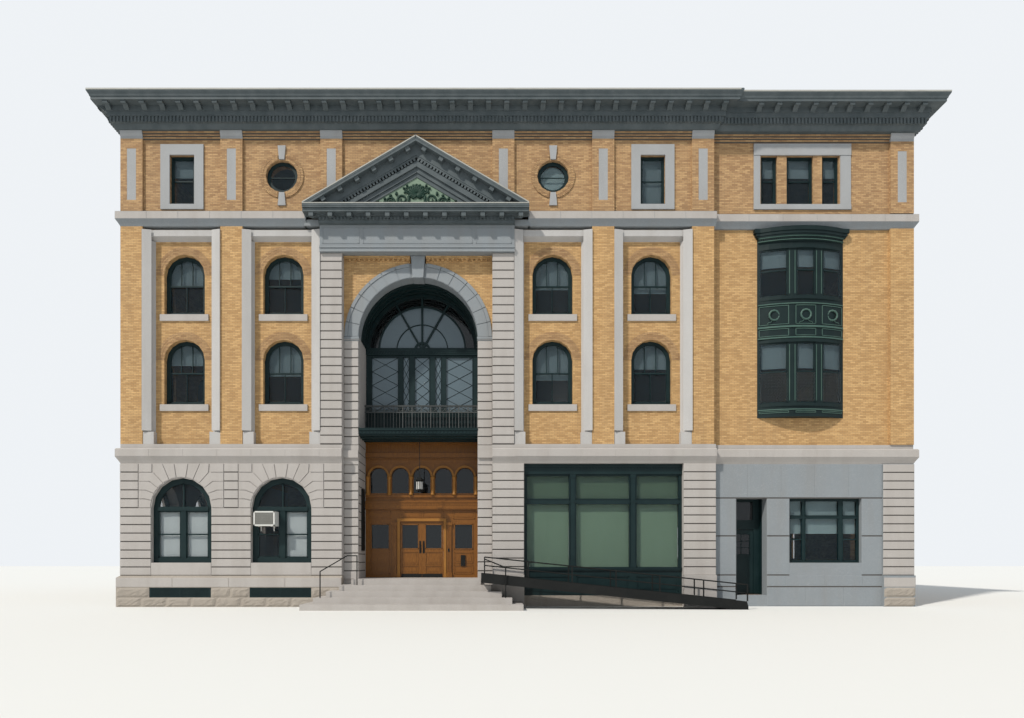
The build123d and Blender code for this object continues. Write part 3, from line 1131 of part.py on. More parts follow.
def build_balcony():
    """The loggia floor over the porch, and its iron railing."""
    side = PORCH_HALF - SEAT
    deck = block(-side, side, PIER_PLANE + BALCONY_EDGE, RECESS_BACK, SCREEN_HEAD + SEAT, BALCONY_FLOOR)
    deck += block(-side, side, PIER_PLANE, PIER_PLANE + BALCONY_EDGE, SCREEN_HEAD + BALCONY_EDGE, BALCONY_FLOOR)
    deck += block(-side, side, PIER_PLANE - BALCONY_LIP, PIER_PLANE, BALCONY_FLOOR - BALCONY_LIP_HEIGHT, BALCONY_FLOOR)
    keep("balcony", deck)
    half = BALUSTER_SIDE / 2
    railing = block(-side, side, RAIL_PLANE - RAIL_HALF, RAIL_PLANE + RAIL_HALF, RAIL_TOP - BALCONY_EDGE, RAIL_TOP)
    for high in (RAIL_TOP - RAIL_BAND, BALCONY_FLOOR + RAIL_LIFT + RAIL_BAR):
        railing += block(-side, side, RAIL_PLANE - half, RAIL_PLANE + half, high - RAIL_BAR, high)
    pitch = 2 * (side - BALUSTER_SIDE) / (BALUSTERS - 1)
    for number in range(BALUSTERS):
        centre = (number - (BALUSTERS - 1) / 2) * pitch
        foot = BALCONY_FLOOR + (SEAT if number % 4 == 0 else RAIL_LIFT)
        railing += block(centre - half, centre + half, RAIL_PLANE - half, RAIL_PLANE + half, foot,
                         RAIL_TOP - BALCONY_EDGE)
    keep("balcony_railing", railing)


def build_loggia_screen():
    """The glazed screen behind the railing, with a fan light in the arch."""
    y0, y1 = LOGGIA_SCREEN, LOGGIA_SCREEN + LOGGIA_FRAME
    side = PORCH_HALF - SEAT
    low, high = LOGGIA_GLASS
    bar_foot, bar_head = LOGGIA_BAR
    screen = block(-side, side, y0, y1, BALCONY_FLOOR + SEAT, bar_head)
    screen += block(-side, side, y0 - LOGGIA_BAR_OUT, y0, bar_foot, bar_head)
    for x0, x1 in LOGGIA_LIGHTS:
        screen -= block(x0, x1, y0 - PAST, y1 + PAST, low, high)
        keep("screen_glass", pane_in(x0, x1, (y0 + y1) / 2, low, high))
    keep("loggia_screen", screen)
    width, depth = FAN_SPOKE
    pane_plane = y1 - 30
    fan = half_disc(side, y0, y1) - half_disc(FAN_RADIUS, y0 - PAST, y1 + PAST, FAN_SILL)
    for degrees in FAN_SPOKES:
        spoke = block(60, FAN_RADIUS + 60, pane_plane - depth, pane_plane, -width / 2, width / 2)
        spoke = Pos(0, 0, ARCH_SPRING) * Rot(0, -degrees, 0) * spoke
        fan += spoke & half_disc(FAN_RADIUS + 20, y0, y1, 20)
    keep("loggia_screen", fan)
    keep("screen_glass", half_disc(FAN_RADIUS - SEAT, pane_plane + SEAT, pane_plane + GLASS_THICK, FAN_SILL + SEAT))


def build_steps():
    """Granite steps, each its own slab, and the landing that runs back into the porch."""
    wall = -PLINTH_OUT - SEAT
    count = len(STEP_SPREADS)
    for number, spread in enumerate(STEP_SPREADS):
        half = LANDING_HALF + spread
        front = LANDING_FRONT - STEP_GOING * (count - number)
        foot = number * RISE + (SEAT if number else 0)
        keep("steps", block(-half, half, front, wall, foot, (number + 1) * RISE))
    top = count * RISE
    core = block(-CENTRE_INNER + SEAT, CENTRE_INNER - SEAT, wall + SEAT, PIER_PLANE - SEAT, 0, top)
    core += block(-PORCH_HALF + SEAT, PORCH_HALF - SEAT, 0, RECESS_BACK, 0, HALL_FLOOR)
    core += block(-LANDING_HALF, LANDING_HALF, LANDING_FRONT, PIER_PLANE - SEAT, top + SEAT, HALL_FLOOR)
    keep("landing", core)


def tube(points, radius):
    """A bar along straight runs, mitred at the corners."""
    path = Polyline(*points)
    start = Plane(origin=path @ 0, z_dir=path % 0)
    return sweep(start * RegularPolygon(radius, BAR_SIDES), path=path, transition=Transition.RIGHT)


def build_handrails():
    """Black handrails: one up the left end of the steps, and a short one at the right against the ramp."""
    foot_x, foot_y = HANDRAIL_FOOT
    turn_x, turn_y = HANDRAIL_TURN
    low, high = HANDRAIL_LEVELS
    foot = 2 * RISE + SEAT
    points = [(-foot_x, foot_y, foot), (-foot_x, foot_y, low), (-turn_x, turn_y, high),
              (-HANDRAIL_TOP, turn_y, high), (-HANDRAIL_TOP, turn_y, 4 * RISE + SEAT)]
    keep("handrails", tube(points, RAIL_RADIUS))
    end_x, end_z = RAMP_FIRST_POST, RIGHT_RAIL_END
    end_y = RAMP_FRONT + RAMP_BEAM / 2 - RAMP_POST_HALF - SEAT
    points = [(foot_x, foot_y, foot), (foot_x, foot_y, RIGHT_POST_TOP), (end_x, foot_y, end_z), (end_x, end_y, end_z)]
    keep("handrails", tube(points, RAIL_RADIUS))


def deck_height(x):
    """Height of the ramp's deck."""
    return HALL_FLOOR - (x - RAMP_LEFT) * (HALL_FLOOR - RAMP_DECK) / (RAMP_RIGHT - RAMP_LEFT)


def build_ramp():
    """A steel ramp from the right end of the landing down to the ground, with railings on both edges."""
    high, low = deck_height(RAMP_LEFT), deck_height(RAMP_RIGHT)
    deck = prism_y([(RAMP_LEFT, high - RAMP_DECK), (RAMP_RIGHT, low - RAMP_DECK), (RAMP_RIGHT, low),
                    (RAMP_LEFT, high)], RAMP_FRONT + RAMP_BEAM, RAMP_BACK - RAMP_BEAM)
    side = [(RAMP_LEFT, high - RAMP_BEAM_DROP), (RAMP_RIGHT - RAMP_TOE, 0), (RAMP_RIGHT, 0), (RAMP_RIGHT, low + 60),
            (RAMP_RIGHT - 60, low + RAMP_CURB), (RAMP_LEFT, high + RAMP_CURB)]
    for y0 in (RAMP_FRONT, RAMP_BACK - RAMP_BEAM):
        deck += prism_y(side, y0, y0 + RAMP_BEAM)
        keep("ramp_railings", ramp_railing(y0 + RAMP_BEAM / 2))
    keep("ramp", deck)


def ramp_railing(y):
    """Posts and two sloping rails over one edge of the ramp."""
    first, last = RAMP_FIRST_POST, RAMP_LAST_POST
    half = RAMP_POST_HALF
    railing = None
    for lift, radius in ((RAIL_HEIGHT, RAIL_RADIUS), (LOWER_RAIL, LOWER_RAIL_RADIUS)):
        rail = tube([(first, y, deck_height(first) + lift), (last, y, deck_height(last) + lift)], radius)
        railing = railing + rail if railing else rail
    for number in range(RAMP_POST_COUNT):
        x = first + (last - first) * number / (RAMP_POST_COUNT - 1)
        foot = deck_height(x - half) + RAMP_CURB + SEAT
        railing += block(x - half, x + half, y - half, y + half, foot, deck_height(x) + RAIL_HEIGHT)
    return railing


def build_fittings():
    """The hanging porch lantern and the window air conditioner."""
    foot = LANTERN_FOOT
    lantern = None
    for radius, height in LANTERN_STAGES:
        stage = Pos(0, LANTERN_PLANE, foot) * extrude(RegularPolygon(radius, BAR_SIDES), amount=height)
        lantern = lantern + stage if lantern else stage
        foot += height
    widest = LANTERN_STAGES[-1][0]
    roof = extrude(RegularPolygon(widest, BAR_SIDES), amount=LANTERN_ROOF, taper=LANTERN_TAPER)
    lantern += Pos(0, LANTERN_PLANE, foot) * roof
    rod = LANTERN_ROD
    lantern += block(-rod, rod, LANTERN_PLANE - rod, LANTERN_PLANE + rod, foot, SCREEN_HEAD)
    keep("lantern", lantern)
    left = -BAY_CENTRES[0] - GROUND_WINDOW / 2 + GROUND_BORDER + COOLER_MARGIN
    keep("air_conditioner", block(left, left + COOLER_WIDTH, -COOLER_OUT, GROUND_REVEAL + FRAME_DEPTH / 2 - SEAT,
                                  *COOLER_LEVELS))


def main():
    build_plinth()
    build_ground_walls()
    build_shop_front()
    build_belts()
    build_brick_storeys()
    build_side_bay()
    build_oriel()
    build_attic()
    build_arch_piers()
    build_arch()
    build_entablature()
    build_pediment()
    build_cornice()
    build_roof_and_floors()
    build_plain_walls()
    build_entry_screen()
    build_main_doors()
    build_side_door()
    build_balcony()
    build_loggia_screen()
    build_steps()
    build_handrails()
    build_ramp()
    build_fittings()
    os.makedirs("parts", exist_ok=True)
    for name, solids in nodes.items():
        export_step(Compound(children=solids), "parts/" + name + ".step")


main()
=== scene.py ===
"""The looks of the city opera house: stone, brick, joinery, ironwork and light round the fixed frame.

Metres, in the frame of the model: X right along the front, Y into the building, Z up.
"""
import math
import random

import bmesh
import bpy
from mathutils import Matrix, Vector


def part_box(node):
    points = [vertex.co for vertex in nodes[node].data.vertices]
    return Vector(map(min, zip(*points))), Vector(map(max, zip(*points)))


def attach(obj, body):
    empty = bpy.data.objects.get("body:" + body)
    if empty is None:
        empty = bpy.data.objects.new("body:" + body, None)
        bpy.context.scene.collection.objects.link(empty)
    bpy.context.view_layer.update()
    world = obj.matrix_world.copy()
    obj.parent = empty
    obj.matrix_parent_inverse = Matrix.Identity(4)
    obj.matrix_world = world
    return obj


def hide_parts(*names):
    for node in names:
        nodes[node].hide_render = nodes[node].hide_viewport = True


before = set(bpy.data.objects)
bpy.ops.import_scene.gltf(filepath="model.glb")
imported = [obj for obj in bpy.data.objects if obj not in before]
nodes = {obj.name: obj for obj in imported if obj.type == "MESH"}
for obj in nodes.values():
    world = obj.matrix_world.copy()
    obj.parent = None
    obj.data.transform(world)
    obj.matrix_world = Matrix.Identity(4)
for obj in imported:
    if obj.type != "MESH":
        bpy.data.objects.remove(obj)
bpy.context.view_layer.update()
ROOT = "building"

# Main lines of the building, read from the frame where a piece gives them
GROUND_LOW, GROUND_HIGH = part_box("ground_walls")
LEFT = GROUND_LOW.x
DEPTH = GROUND_HIGH.y
PLINTH_TOP = GROUND_LOW.z
GROUND_TOP = GROUND_HIGH.z
BELT_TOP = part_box("lower_belt")[1].z
UPPER_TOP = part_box("string_course")[0].z
SCREEN_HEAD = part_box("screen_arcade")[1].z
ATTIC_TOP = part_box("attic_walls")[1].z
SIDE_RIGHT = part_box("right_wall")[1].x
CENTRE_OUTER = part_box("centre_pilasters")[1].x
CORNICE_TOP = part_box("main_cornice")[1].z
PILASTER = 0.9
SIDE_COUNT = 5
SIDE_PITCH = (DEPTH - PILASTER) / SIDE_COUNT
SIDE_BAYS = [PILASTER / 2 + SIDE_PITCH * (bay + 0.5) for bay in range(SIDE_COUNT)]
PANEL = (-LEFT - CENTRE_OUTER) / 2 - PILASTER
INNER_BAY = CENTRE_OUTER + PANEL / 2
OUTER_BAY = INNER_BAY + PANEL + PILASTER
FRONT_BAYS = (-OUTER_BAY, -INNER_BAY, INNER_BAY, OUTER_BAY)
PORCH = 2.46
ARCH_CENTRE = 11.12


def turned(x, y, degrees):
    """The place of a piece that is drawn for the front, turned about the upright and moved."""
    return Matrix.Translation((x, y, 0)) @ Matrix.Rotation(math.radians(degrees), 4, "Z")


FRONT = Matrix.Identity(4)
LEFT_SIDE = turned(LEFT, DEPTH, -90)
RIGHT_SIDE = turned(SIDE_RIGHT, 0, 90)
BACK = turned(0, DEPTH, 180)

# Windows as (centre, place): the upper arched ones, the wide ones below and the plain ones behind
LEFT_PLACES = [(centre, LEFT_SIDE) for centre in SIDE_BAYS]
UPPER_PLACES = [(centre, FRONT) for centre in FRONT_BAYS] + LEFT_PLACES
GROUND_PLACES = [(-OUTER_BAY, FRONT), (-INNER_BAY, FRONT)] + LEFT_PLACES
PLAIN_PLACES = [(-SIDE_RIGHT + (SIDE_RIGHT - LEFT) / 4 * (bay + 0.5), BACK) for bay in range(4)]
PLAIN_PLACES += [(DEPTH / 3 * (bay + 0.5), RIGHT_SIDE) for bay in range(3)]


def steps(low, high, count):
    """The ends of equal parts between two values."""
    return [low + (high - low) * number / count for number in range(count + 1)]


def parts(low, high, count, gap=0.0):
    """Equal parts between two values as (start, end), each cut back by a gap at both ends."""
    ends = steps(low, high, count)
    return [(start + gap, end - gap) for start, end in zip(ends, ends[1:])]


def span(middle, half):
    """The two ends of a stretch about its middle."""
    return middle - half, middle + half


def both(near, far):
    """A span on the left of the middle, and its mirror image on the right."""
    return (-far, -near), (near, far)


def arc(cx, cz, radius, count, turn=math.pi):
    """Points (x, z) round part of a circle, from its right end."""
    angles = steps(0.0, turn, count)
    return [(cx + radius * math.cos(angle), cz + radius * math.sin(angle)) for angle in angles]


def circle(cx, cz, radius, count):
    """Points (x, z) round a whole circle."""
    return arc(cx, cz, radius, count, math.tau)[:-1]


class Mesh:
    """Collects the vertices and faces of one joined piece."""

    def __init__(self):
        self.points = []
        self.faces = []
        self.smooth = []

    def add(self, points, faces, place=FRONT, smooth=False):
        first = len(self.points)
        self.points.extend(place @ Vector(point) for point in points)
        self.faces.extend([first + corner for corner in face] for face in faces)
        self.smooth.extend([smooth] * len(faces))

    def box(self, x0, x1, y0, y1, z0, z1, place=FRONT):
        points = [(x, y, z) for z in (z0, z1) for y in (y0, y1) for x in (x0, x1)]
        faces = [(0, 2, 3, 1), (4, 5, 7, 6), (0, 1, 5, 4), (2, 6, 7, 3), (0, 4, 6, 2), (1, 3, 7, 5)]
        self.add(points, faces, place)

    def block(self, outline, y0, y1, place=FRONT, bevel=0.014, closed=False):
        """A four-cornered stone, given anticlockwise from its lower left, with a chamfered front."""
        slopes = ((1, 1), (-1, 1), (-1, -1), (1, -1))
        inner = [(x + bevel * dx, y0, z + bevel * dz) for (x, z), (dx, dz) in zip(outline, slopes)]
        edge = [(x, y0 + bevel, z) for x, z in outline]
        back = [(x, y1, z) for x, z in outline]
        faces = [(0, 1, 2, 3), (11, 10, 9, 8)] if closed else [(0, 1, 2, 3)]
        for corner in range(4):
            after = (corner + 1) % 4
            faces.append((corner, corner + 4, after + 4, after))
            faces.append((corner + 4, corner + 8, after + 8, after + 4))
        self.add(inner + edge + back, faces, place)

    def stone(self, x0, x1, y0, y1, z0, z1, bevel=0.014, place=FRONT, closed=True):
        """A rectangular dressed block, open or closed at the back."""
        self.block([(x0, z0), (x1, z0), (x1, z1), (x0, z1)], y0, y1, place, bevel, closed)

    def slab(self, outline, y0, y1, place=FRONT, bevel=0.0):
        """An outline of (x, z) points run back from y0 to y1, with its front edge chamfered."""
        count = len(outline)
        cx = sum(x for x, z in outline) / count
        cz = sum(z for x, z in outline) / count
        rings = [[(x, y0 + bevel, z) for x, z in outline], [(x, y1, z) for x, z in outline]]
        if bevel:
            inner = []
            for x, z in outline:
                length = math.hypot(x - cx, z - cz) or 1
                inner.append((x - (x - cx) / length * bevel, y0, z - (z - cz) / length * bevel))
            rings.insert(0, inner)
        points = [point for ring in rings for point in ring]
        faces = [tuple(range(count)), tuple(reversed(range(len(points) - count, len(points))))]
        for ring in range(len(rings) - 1):
            base = ring * count
            for corner in range(count):
                after = (corner + 1) % count
                faces.append((base + corner, base + corner + count, base + after + count, base + after))
        self.add(points, faces, place)

    def ring(self, cx, cz, inner, outer, y0, y1, start, end, count, place=FRONT):
        """Part of a flat ring about (cx, cz), between two angles in degrees."""
        for a, b in parts(math.radians(start), math.radians(end), count):
            outline = [(cx + reach * math.cos(angle), cz + reach * math.sin(angle))
                       for reach, angle in ((inner, a), (outer, a), (outer, b), (inner, b))]
            self.slab(outline, y0, y1, place)

    def tube(self, points, radius, sides=8, closed=False):
        """A round bar along points."""
        path = [Vector(point) for point in points]
        rings = []
        normal = None
        for number, point in enumerate(path):
            before = path[number - 1] if number or closed else point
            after = path[(number + 1) % len(path)] if number < len(path) - 1 or closed else point
            direction = (after - before).normalized()
            if normal is None:
                guide = Vector((0, 0, 1)) if abs(direction.z) < 0.9 else Vector((1, 0, 0))
                normal = direction.cross(guide).normalized()
            normal = (normal - direction * normal.dot(direction)).normalized()
            side = direction.cross(normal)
            width = radius(number) if callable(radius) else radius
            rings.append([point + (normal * across + side * up) * width
                          for across, up in circle(0, 0, 1, sides)])
        vertices = [vertex for ring in rings for vertex in ring]
        faces = []
        for ring in range(len(rings) - (0 if closed else 1)):
            base = ring * sides
            top = ((ring + 1) % len(rings)) * sides
            for k in range(sides):
                after = (k + 1) % sides
                faces.append((base + k, base + after, top + after, top + k))
        if not closed:
            faces.append(tuple(reversed(range(sides))))
            faces.append(tuple(range(len(vertices) - sides, len(vertices))))
        self.add(vertices, faces, smooth=True)

    def column(self, profile, centre, sides):
        """A turned shape: (radius, z) points about a vertical axis through centre."""
        cx, cy = centre
        vertices = [(x, y, z) for radius, z in profile for x, y in circle(cx, cy, radius, sides)]
        faces = []
        for ring in range(len(profile) - 1):
            for k in range(sides):
                after = (k + 1) % sides
                faces.append((ring * sides + k, ring * sides + after, (ring + 1) * sides + after,
                              (ring + 1) * sides + k))
        faces.append(tuple(reversed(range(sides))))
        faces.append(tuple(range(len(vertices) - sides, len(vertices))))
        self.add(vertices, faces, smooth=True)

    def data(self, name, material):
        """The mesh data of what was collected, with its faces turned outwards."""
        data = bpy.data.meshes.new(name)
        data.from_pydata([tuple(point) for point in self.points], [], self.faces)
        data.polygons.foreach_set("use_smooth", self.smooth)
        mesh = bmesh.new()
        mesh.from_mesh(data)
        bmesh.ops.recalc_face_normals(mesh, faces=mesh.faces)
        mesh.to_mesh(data)
        mesh.free()
        data.materials.append(material)
        return data


# How nearly along an axis a face's normal lies, to count as facing that way
FACING = 0.7


class Nodes:
    """Short ways to build a shader: each call adds one node and links its inputs."""

    def __init__(self, name):
        self.material = bpy.data.materials.new(name)
        self.material.use_nodes = True
        self.tree = self.material.node_tree
        self.tree.nodes.clear()
        self.output = self.tree.nodes.new("ShaderNodeOutputMaterial")
        self.shader = self.add("ShaderNodeBsdfPrincipled")
        self.tree.links.new(self.shader.outputs[0], self.output.inputs[0])
        self.place = self.add("ShaderNodeTexCoord").outputs["Object"]

    def add(self, kind, sockets=None, **settings):
        """Adds a node, sets its properties, and sets or links its input sockets."""
        node = self.tree.nodes.new(kind)
        for name, value in settings.items():
            setattr(node, name, value)
        for key, value in (sockets or {}).items():
            self.link(value, node.inputs[key])
        return node

    def link(self, value, socket):
        """A number or colour is set on the socket, and an output is linked to it."""
        if isinstance(value, bpy.types.NodeSocket):
            self.tree.links.new(value, socket)
        elif isinstance(value, tuple) and len(value) == 3 and socket.type == "RGBA":
            socket.default_value = (*value, 1)
        else:
            socket.default_value = value

    def math(self, operation, *values):
        return self.add("ShaderNodeMath", dict(enumerate(values)), operation=operation).outputs[0]

    def mix(self, amount, first, second):
        """Mixes two colours: sockets 0, 6 and 7 are its factor and colours, and output 2 the result."""
        return self.add("ShaderNodeMix", {0: amount, 6: first, 7: second}, data_type="RGBA").outputs[2]

    def choose(self, mask, first, second):
        """The first value where the mask is 0, and the second where it is 1."""
        kept = self.math("MULTIPLY", first, self.math("SUBTRACT", 1.0, mask))
        return self.math("ADD", kept, self.math("MULTIPLY", second, mask))

    def noise(self, scale, detail=4.0, rough=0.55, stretch=None):
        where = self.place
        if stretch:
            where = self.add("ShaderNodeMapping", {0: where, "Scale": stretch}).outputs[0]
        sockets = {"Vector": where, "Scale": scale, "Detail": detail, "Roughness": rough}
        return self.add("ShaderNodeTexNoise", sockets).outputs[0]

    def ramp(self, value, *stops):
        node = self.add("ShaderNodeValToRGB")
        self.link(value, node.inputs[0])
        elements = node.color_ramp.elements
        while len(elements) < len(stops):
            elements.new(0.5)
        for element, (position, colour) in zip(elements, stops):
            element.position = position
            element.color = (*colour, 1) if len(colour) == 3 else colour
        return node.outputs[0]

    def grey(self, value, low, high, dark=0.0, light=1.0):
        return self.ramp(value, (low, (dark,) * 3), (high, (light,) * 3))

    def bump(self, height, distance, strength):
        sockets = {"Height": height, "Distance": distance, "Strength": strength}
        return self.add("ShaderNodeBump", sockets).outputs[0]

    def split(self, vector):
        return self.add("ShaderNodeSeparateXYZ", {0: vector}).outputs

    def wall_place(self):
        """Flat coordinates on a wall or floor: along it, and up it, whichever way it faces."""
        facing = self.split(self.add("ShaderNodeNewGeometry").outputs["True Normal"])
        x, y, z = self.split(self.place)
        sideways = self.math("GREATER_THAN", self.math("ABSOLUTE", facing[0]), FACING)
        level = self.math("GREATER_THAN", self.math("ABSOLUTE", facing[2]), FACING)
        along, up = self.choose(sideways, x, y), self.choose(level, z, y)
        return self.add("ShaderNodeCombineXYZ", {0: along, 1: up}).outputs[0]

    def finish(self, colour, roughness, normal=None, **others):
        self.link(colour, self.shader.inputs["Base Color"])
        self.link(roughness, self.shader.inputs["Roughness"])
        if normal:
            self.link(normal, self.shader.inputs["Normal"])
        for name, value in others.items():
            self.link(value, self.shader.inputs[name.replace("_", " ")])
        return self.material


def weathering(n, colour, dirt, amount):
    """Rain streaks and soft patches of dirt over a colour."""
    streaks = n.noise(1.6, 5, 0.6, stretch=(1.0, 1.0, 0.12))
    patches = n.noise(0.35, 4, 0.6)
    mask = n.math("MULTIPLY", n.grey(streaks, 0.42, 0.78), n.grey(patches, 0.3, 0.75, 0.25, 1.0))
    return n.mix(n.math("MULTIPLY", mask, amount), colour, dirt)


BRICK_LENGTH = 0.203
BRICK_HEIGHT = 0.057
BRICK_JOINT = 0.0095


def brick_material(name, light, dark, joint_colour, mottle):
    """Running bond at its true size, with soft blotches, dark specks and sunk joints."""
    n = Nodes(name)
    sockets = {"Vector": n.wall_place(), "Color1": light, "Color2": dark, "Mortar": joint_colour, "Scale": 1.0,
               "Mortar Size": BRICK_JOINT / 2, "Mortar Smooth": 0.3, "Bias": 0.0,
               "Brick Width": BRICK_LENGTH + BRICK_JOINT, "Row Height": BRICK_HEIGHT + BRICK_JOINT}
    face, joint = n.add("ShaderNodeTexBrick", sockets, offset=0.5, squash=1.0).outputs
    colour = n.mix(n.grey(n.noise(mottle, 3, 0.6), 0.4, 0.75, 0.0, 0.22), face, tuple(c * 0.72 for c in dark))
    colour = n.mix(n.grey(n.noise(90.0, 2, 0.5), 0.55, 0.75, 0.0, 0.25), colour, (0.2, 0.12, 0.06))
    colour = weathering(n, colour, (0.16, 0.12, 0.08), 0.3)
    height = n.math("SUBTRACT", n.math("MULTIPLY", n.noise(120.0, 3, 0.6), 0.25), joint)
    return n.finish(colour, 0.88, n.bump(height, 0.006, 0.9))


def granite_material(name, base, dirt_amount, relief, grain=(0.34, 0.31, 0.29)):
    """Speckled stone whose blocks differ a little, with dirt and a relief given in metres."""
    n = Nodes(name)
    grains = n.noise(160.0, 2, 0.7)
    colour = n.mix(n.grey(grains, 0.35, 0.68, 0.0, 0.55), base, grain)
    colour = n.mix(n.grey(n.noise(70.0, 2, 0.6), 0.6, 0.72, 0.0, 0.4), colour, (0.85, 0.82, 0.78))
    colour = n.mix(n.grey(n.noise(0.9, 3, 0.6), 0.3, 0.7, 0.0, 0.3), colour, tuple(c * 0.8 for c in base))
    colour = weathering(n, colour, (0.2, 0.17, 0.14), dirt_amount)
    hollows = n.math("MULTIPLY", n.noise(28.0, 5, 0.65), relief)
    height = n.math("ADD", hollows, n.math("MULTIPLY", grains, 0.0012))
    return n.finish(colour, 0.82, n.bump(height, 1.0, 0.9))


def paint_material(name, colour, wear, roughness, chalk, metallic=0.0):
    """Paint or weathered metal that fades in patches and streaks."""
    n = Nodes(name)
    faded = n.mix(n.grey(n.noise(2.2, 5, 0.6), 0.35, 0.75, 0.0, chalk), colour, wear)
    faded = n.mix(n.grey(n.noise(14.0, 4, 0.65, stretch=(1, 1, 0.25)), 0.62, 0.8, 0.0, chalk), faded, wear)
    gloss = n.math("ADD", roughness, n.math("MULTIPLY", n.noise(9.0, 3, 0.5), 0.18))
    return n.finish(faded, gloss, n.bump(n.noise(45.0, 3, 0.6), 0.0016, 0.6), Metallic=metallic,
                    Specular_IOR_Level=0.25)


def oak_material():
    """Varnished oak with its grain upright."""
    n = Nodes("golden_oak")
    grain = n.noise(7.0, 6, 0.6, stretch=(9.0, 9.0, 0.7))
    fine = n.noise(60.0, 4, 0.6, stretch=(8.0, 8.0, 0.35))
    colour = n.ramp(grain, (0.25, (0.09, 0.03, 0.004)), (0.5, (0.18, 0.068, 0.009)),
                    (0.78, (0.29, 0.122, 0.019)))
    colour = n.mix(n.grey(fine, 0.5, 0.75, 0.0, 0.45), colour, (0.17, 0.065, 0.02))
    return n.finish(colour, 0.36, n.bump(fine, 0.0009, 0.5), Coat_Weight=0.08, Coat_Roughness=0.25,
                    Specular_IOR_Level=0.3)


def glass_material(name, colour, alpha, roughness=0.04):
    """Slightly rippled glass."""
    n = Nodes(name)
    ripple = n.bump(n.noise(1.7, 2, 0.5), 0.012, 0.5)
    n.material.blend_method = "BLEND"
    return n.finish(colour, roughness, ripple, Alpha=alpha, Specular_IOR_Level=0.7)


def shade_material(name, colour):
    """Matt cloth with soft upright folds, painted as shade: darker bands in its colour."""
    n = Nodes(name)
    fold_shade = n.noise(3.0, 3, 0.5, stretch=(1.0, 1.0, 0.2))
    # The folds are painted shade: darker upright bands in the cloth's colour
    return n.finish(n.mix(n.grey(fold_shade, 0.35, 0.7, 0.0, 0.35), colour, tuple(c * 0.8 for c in colour)), 0.9)


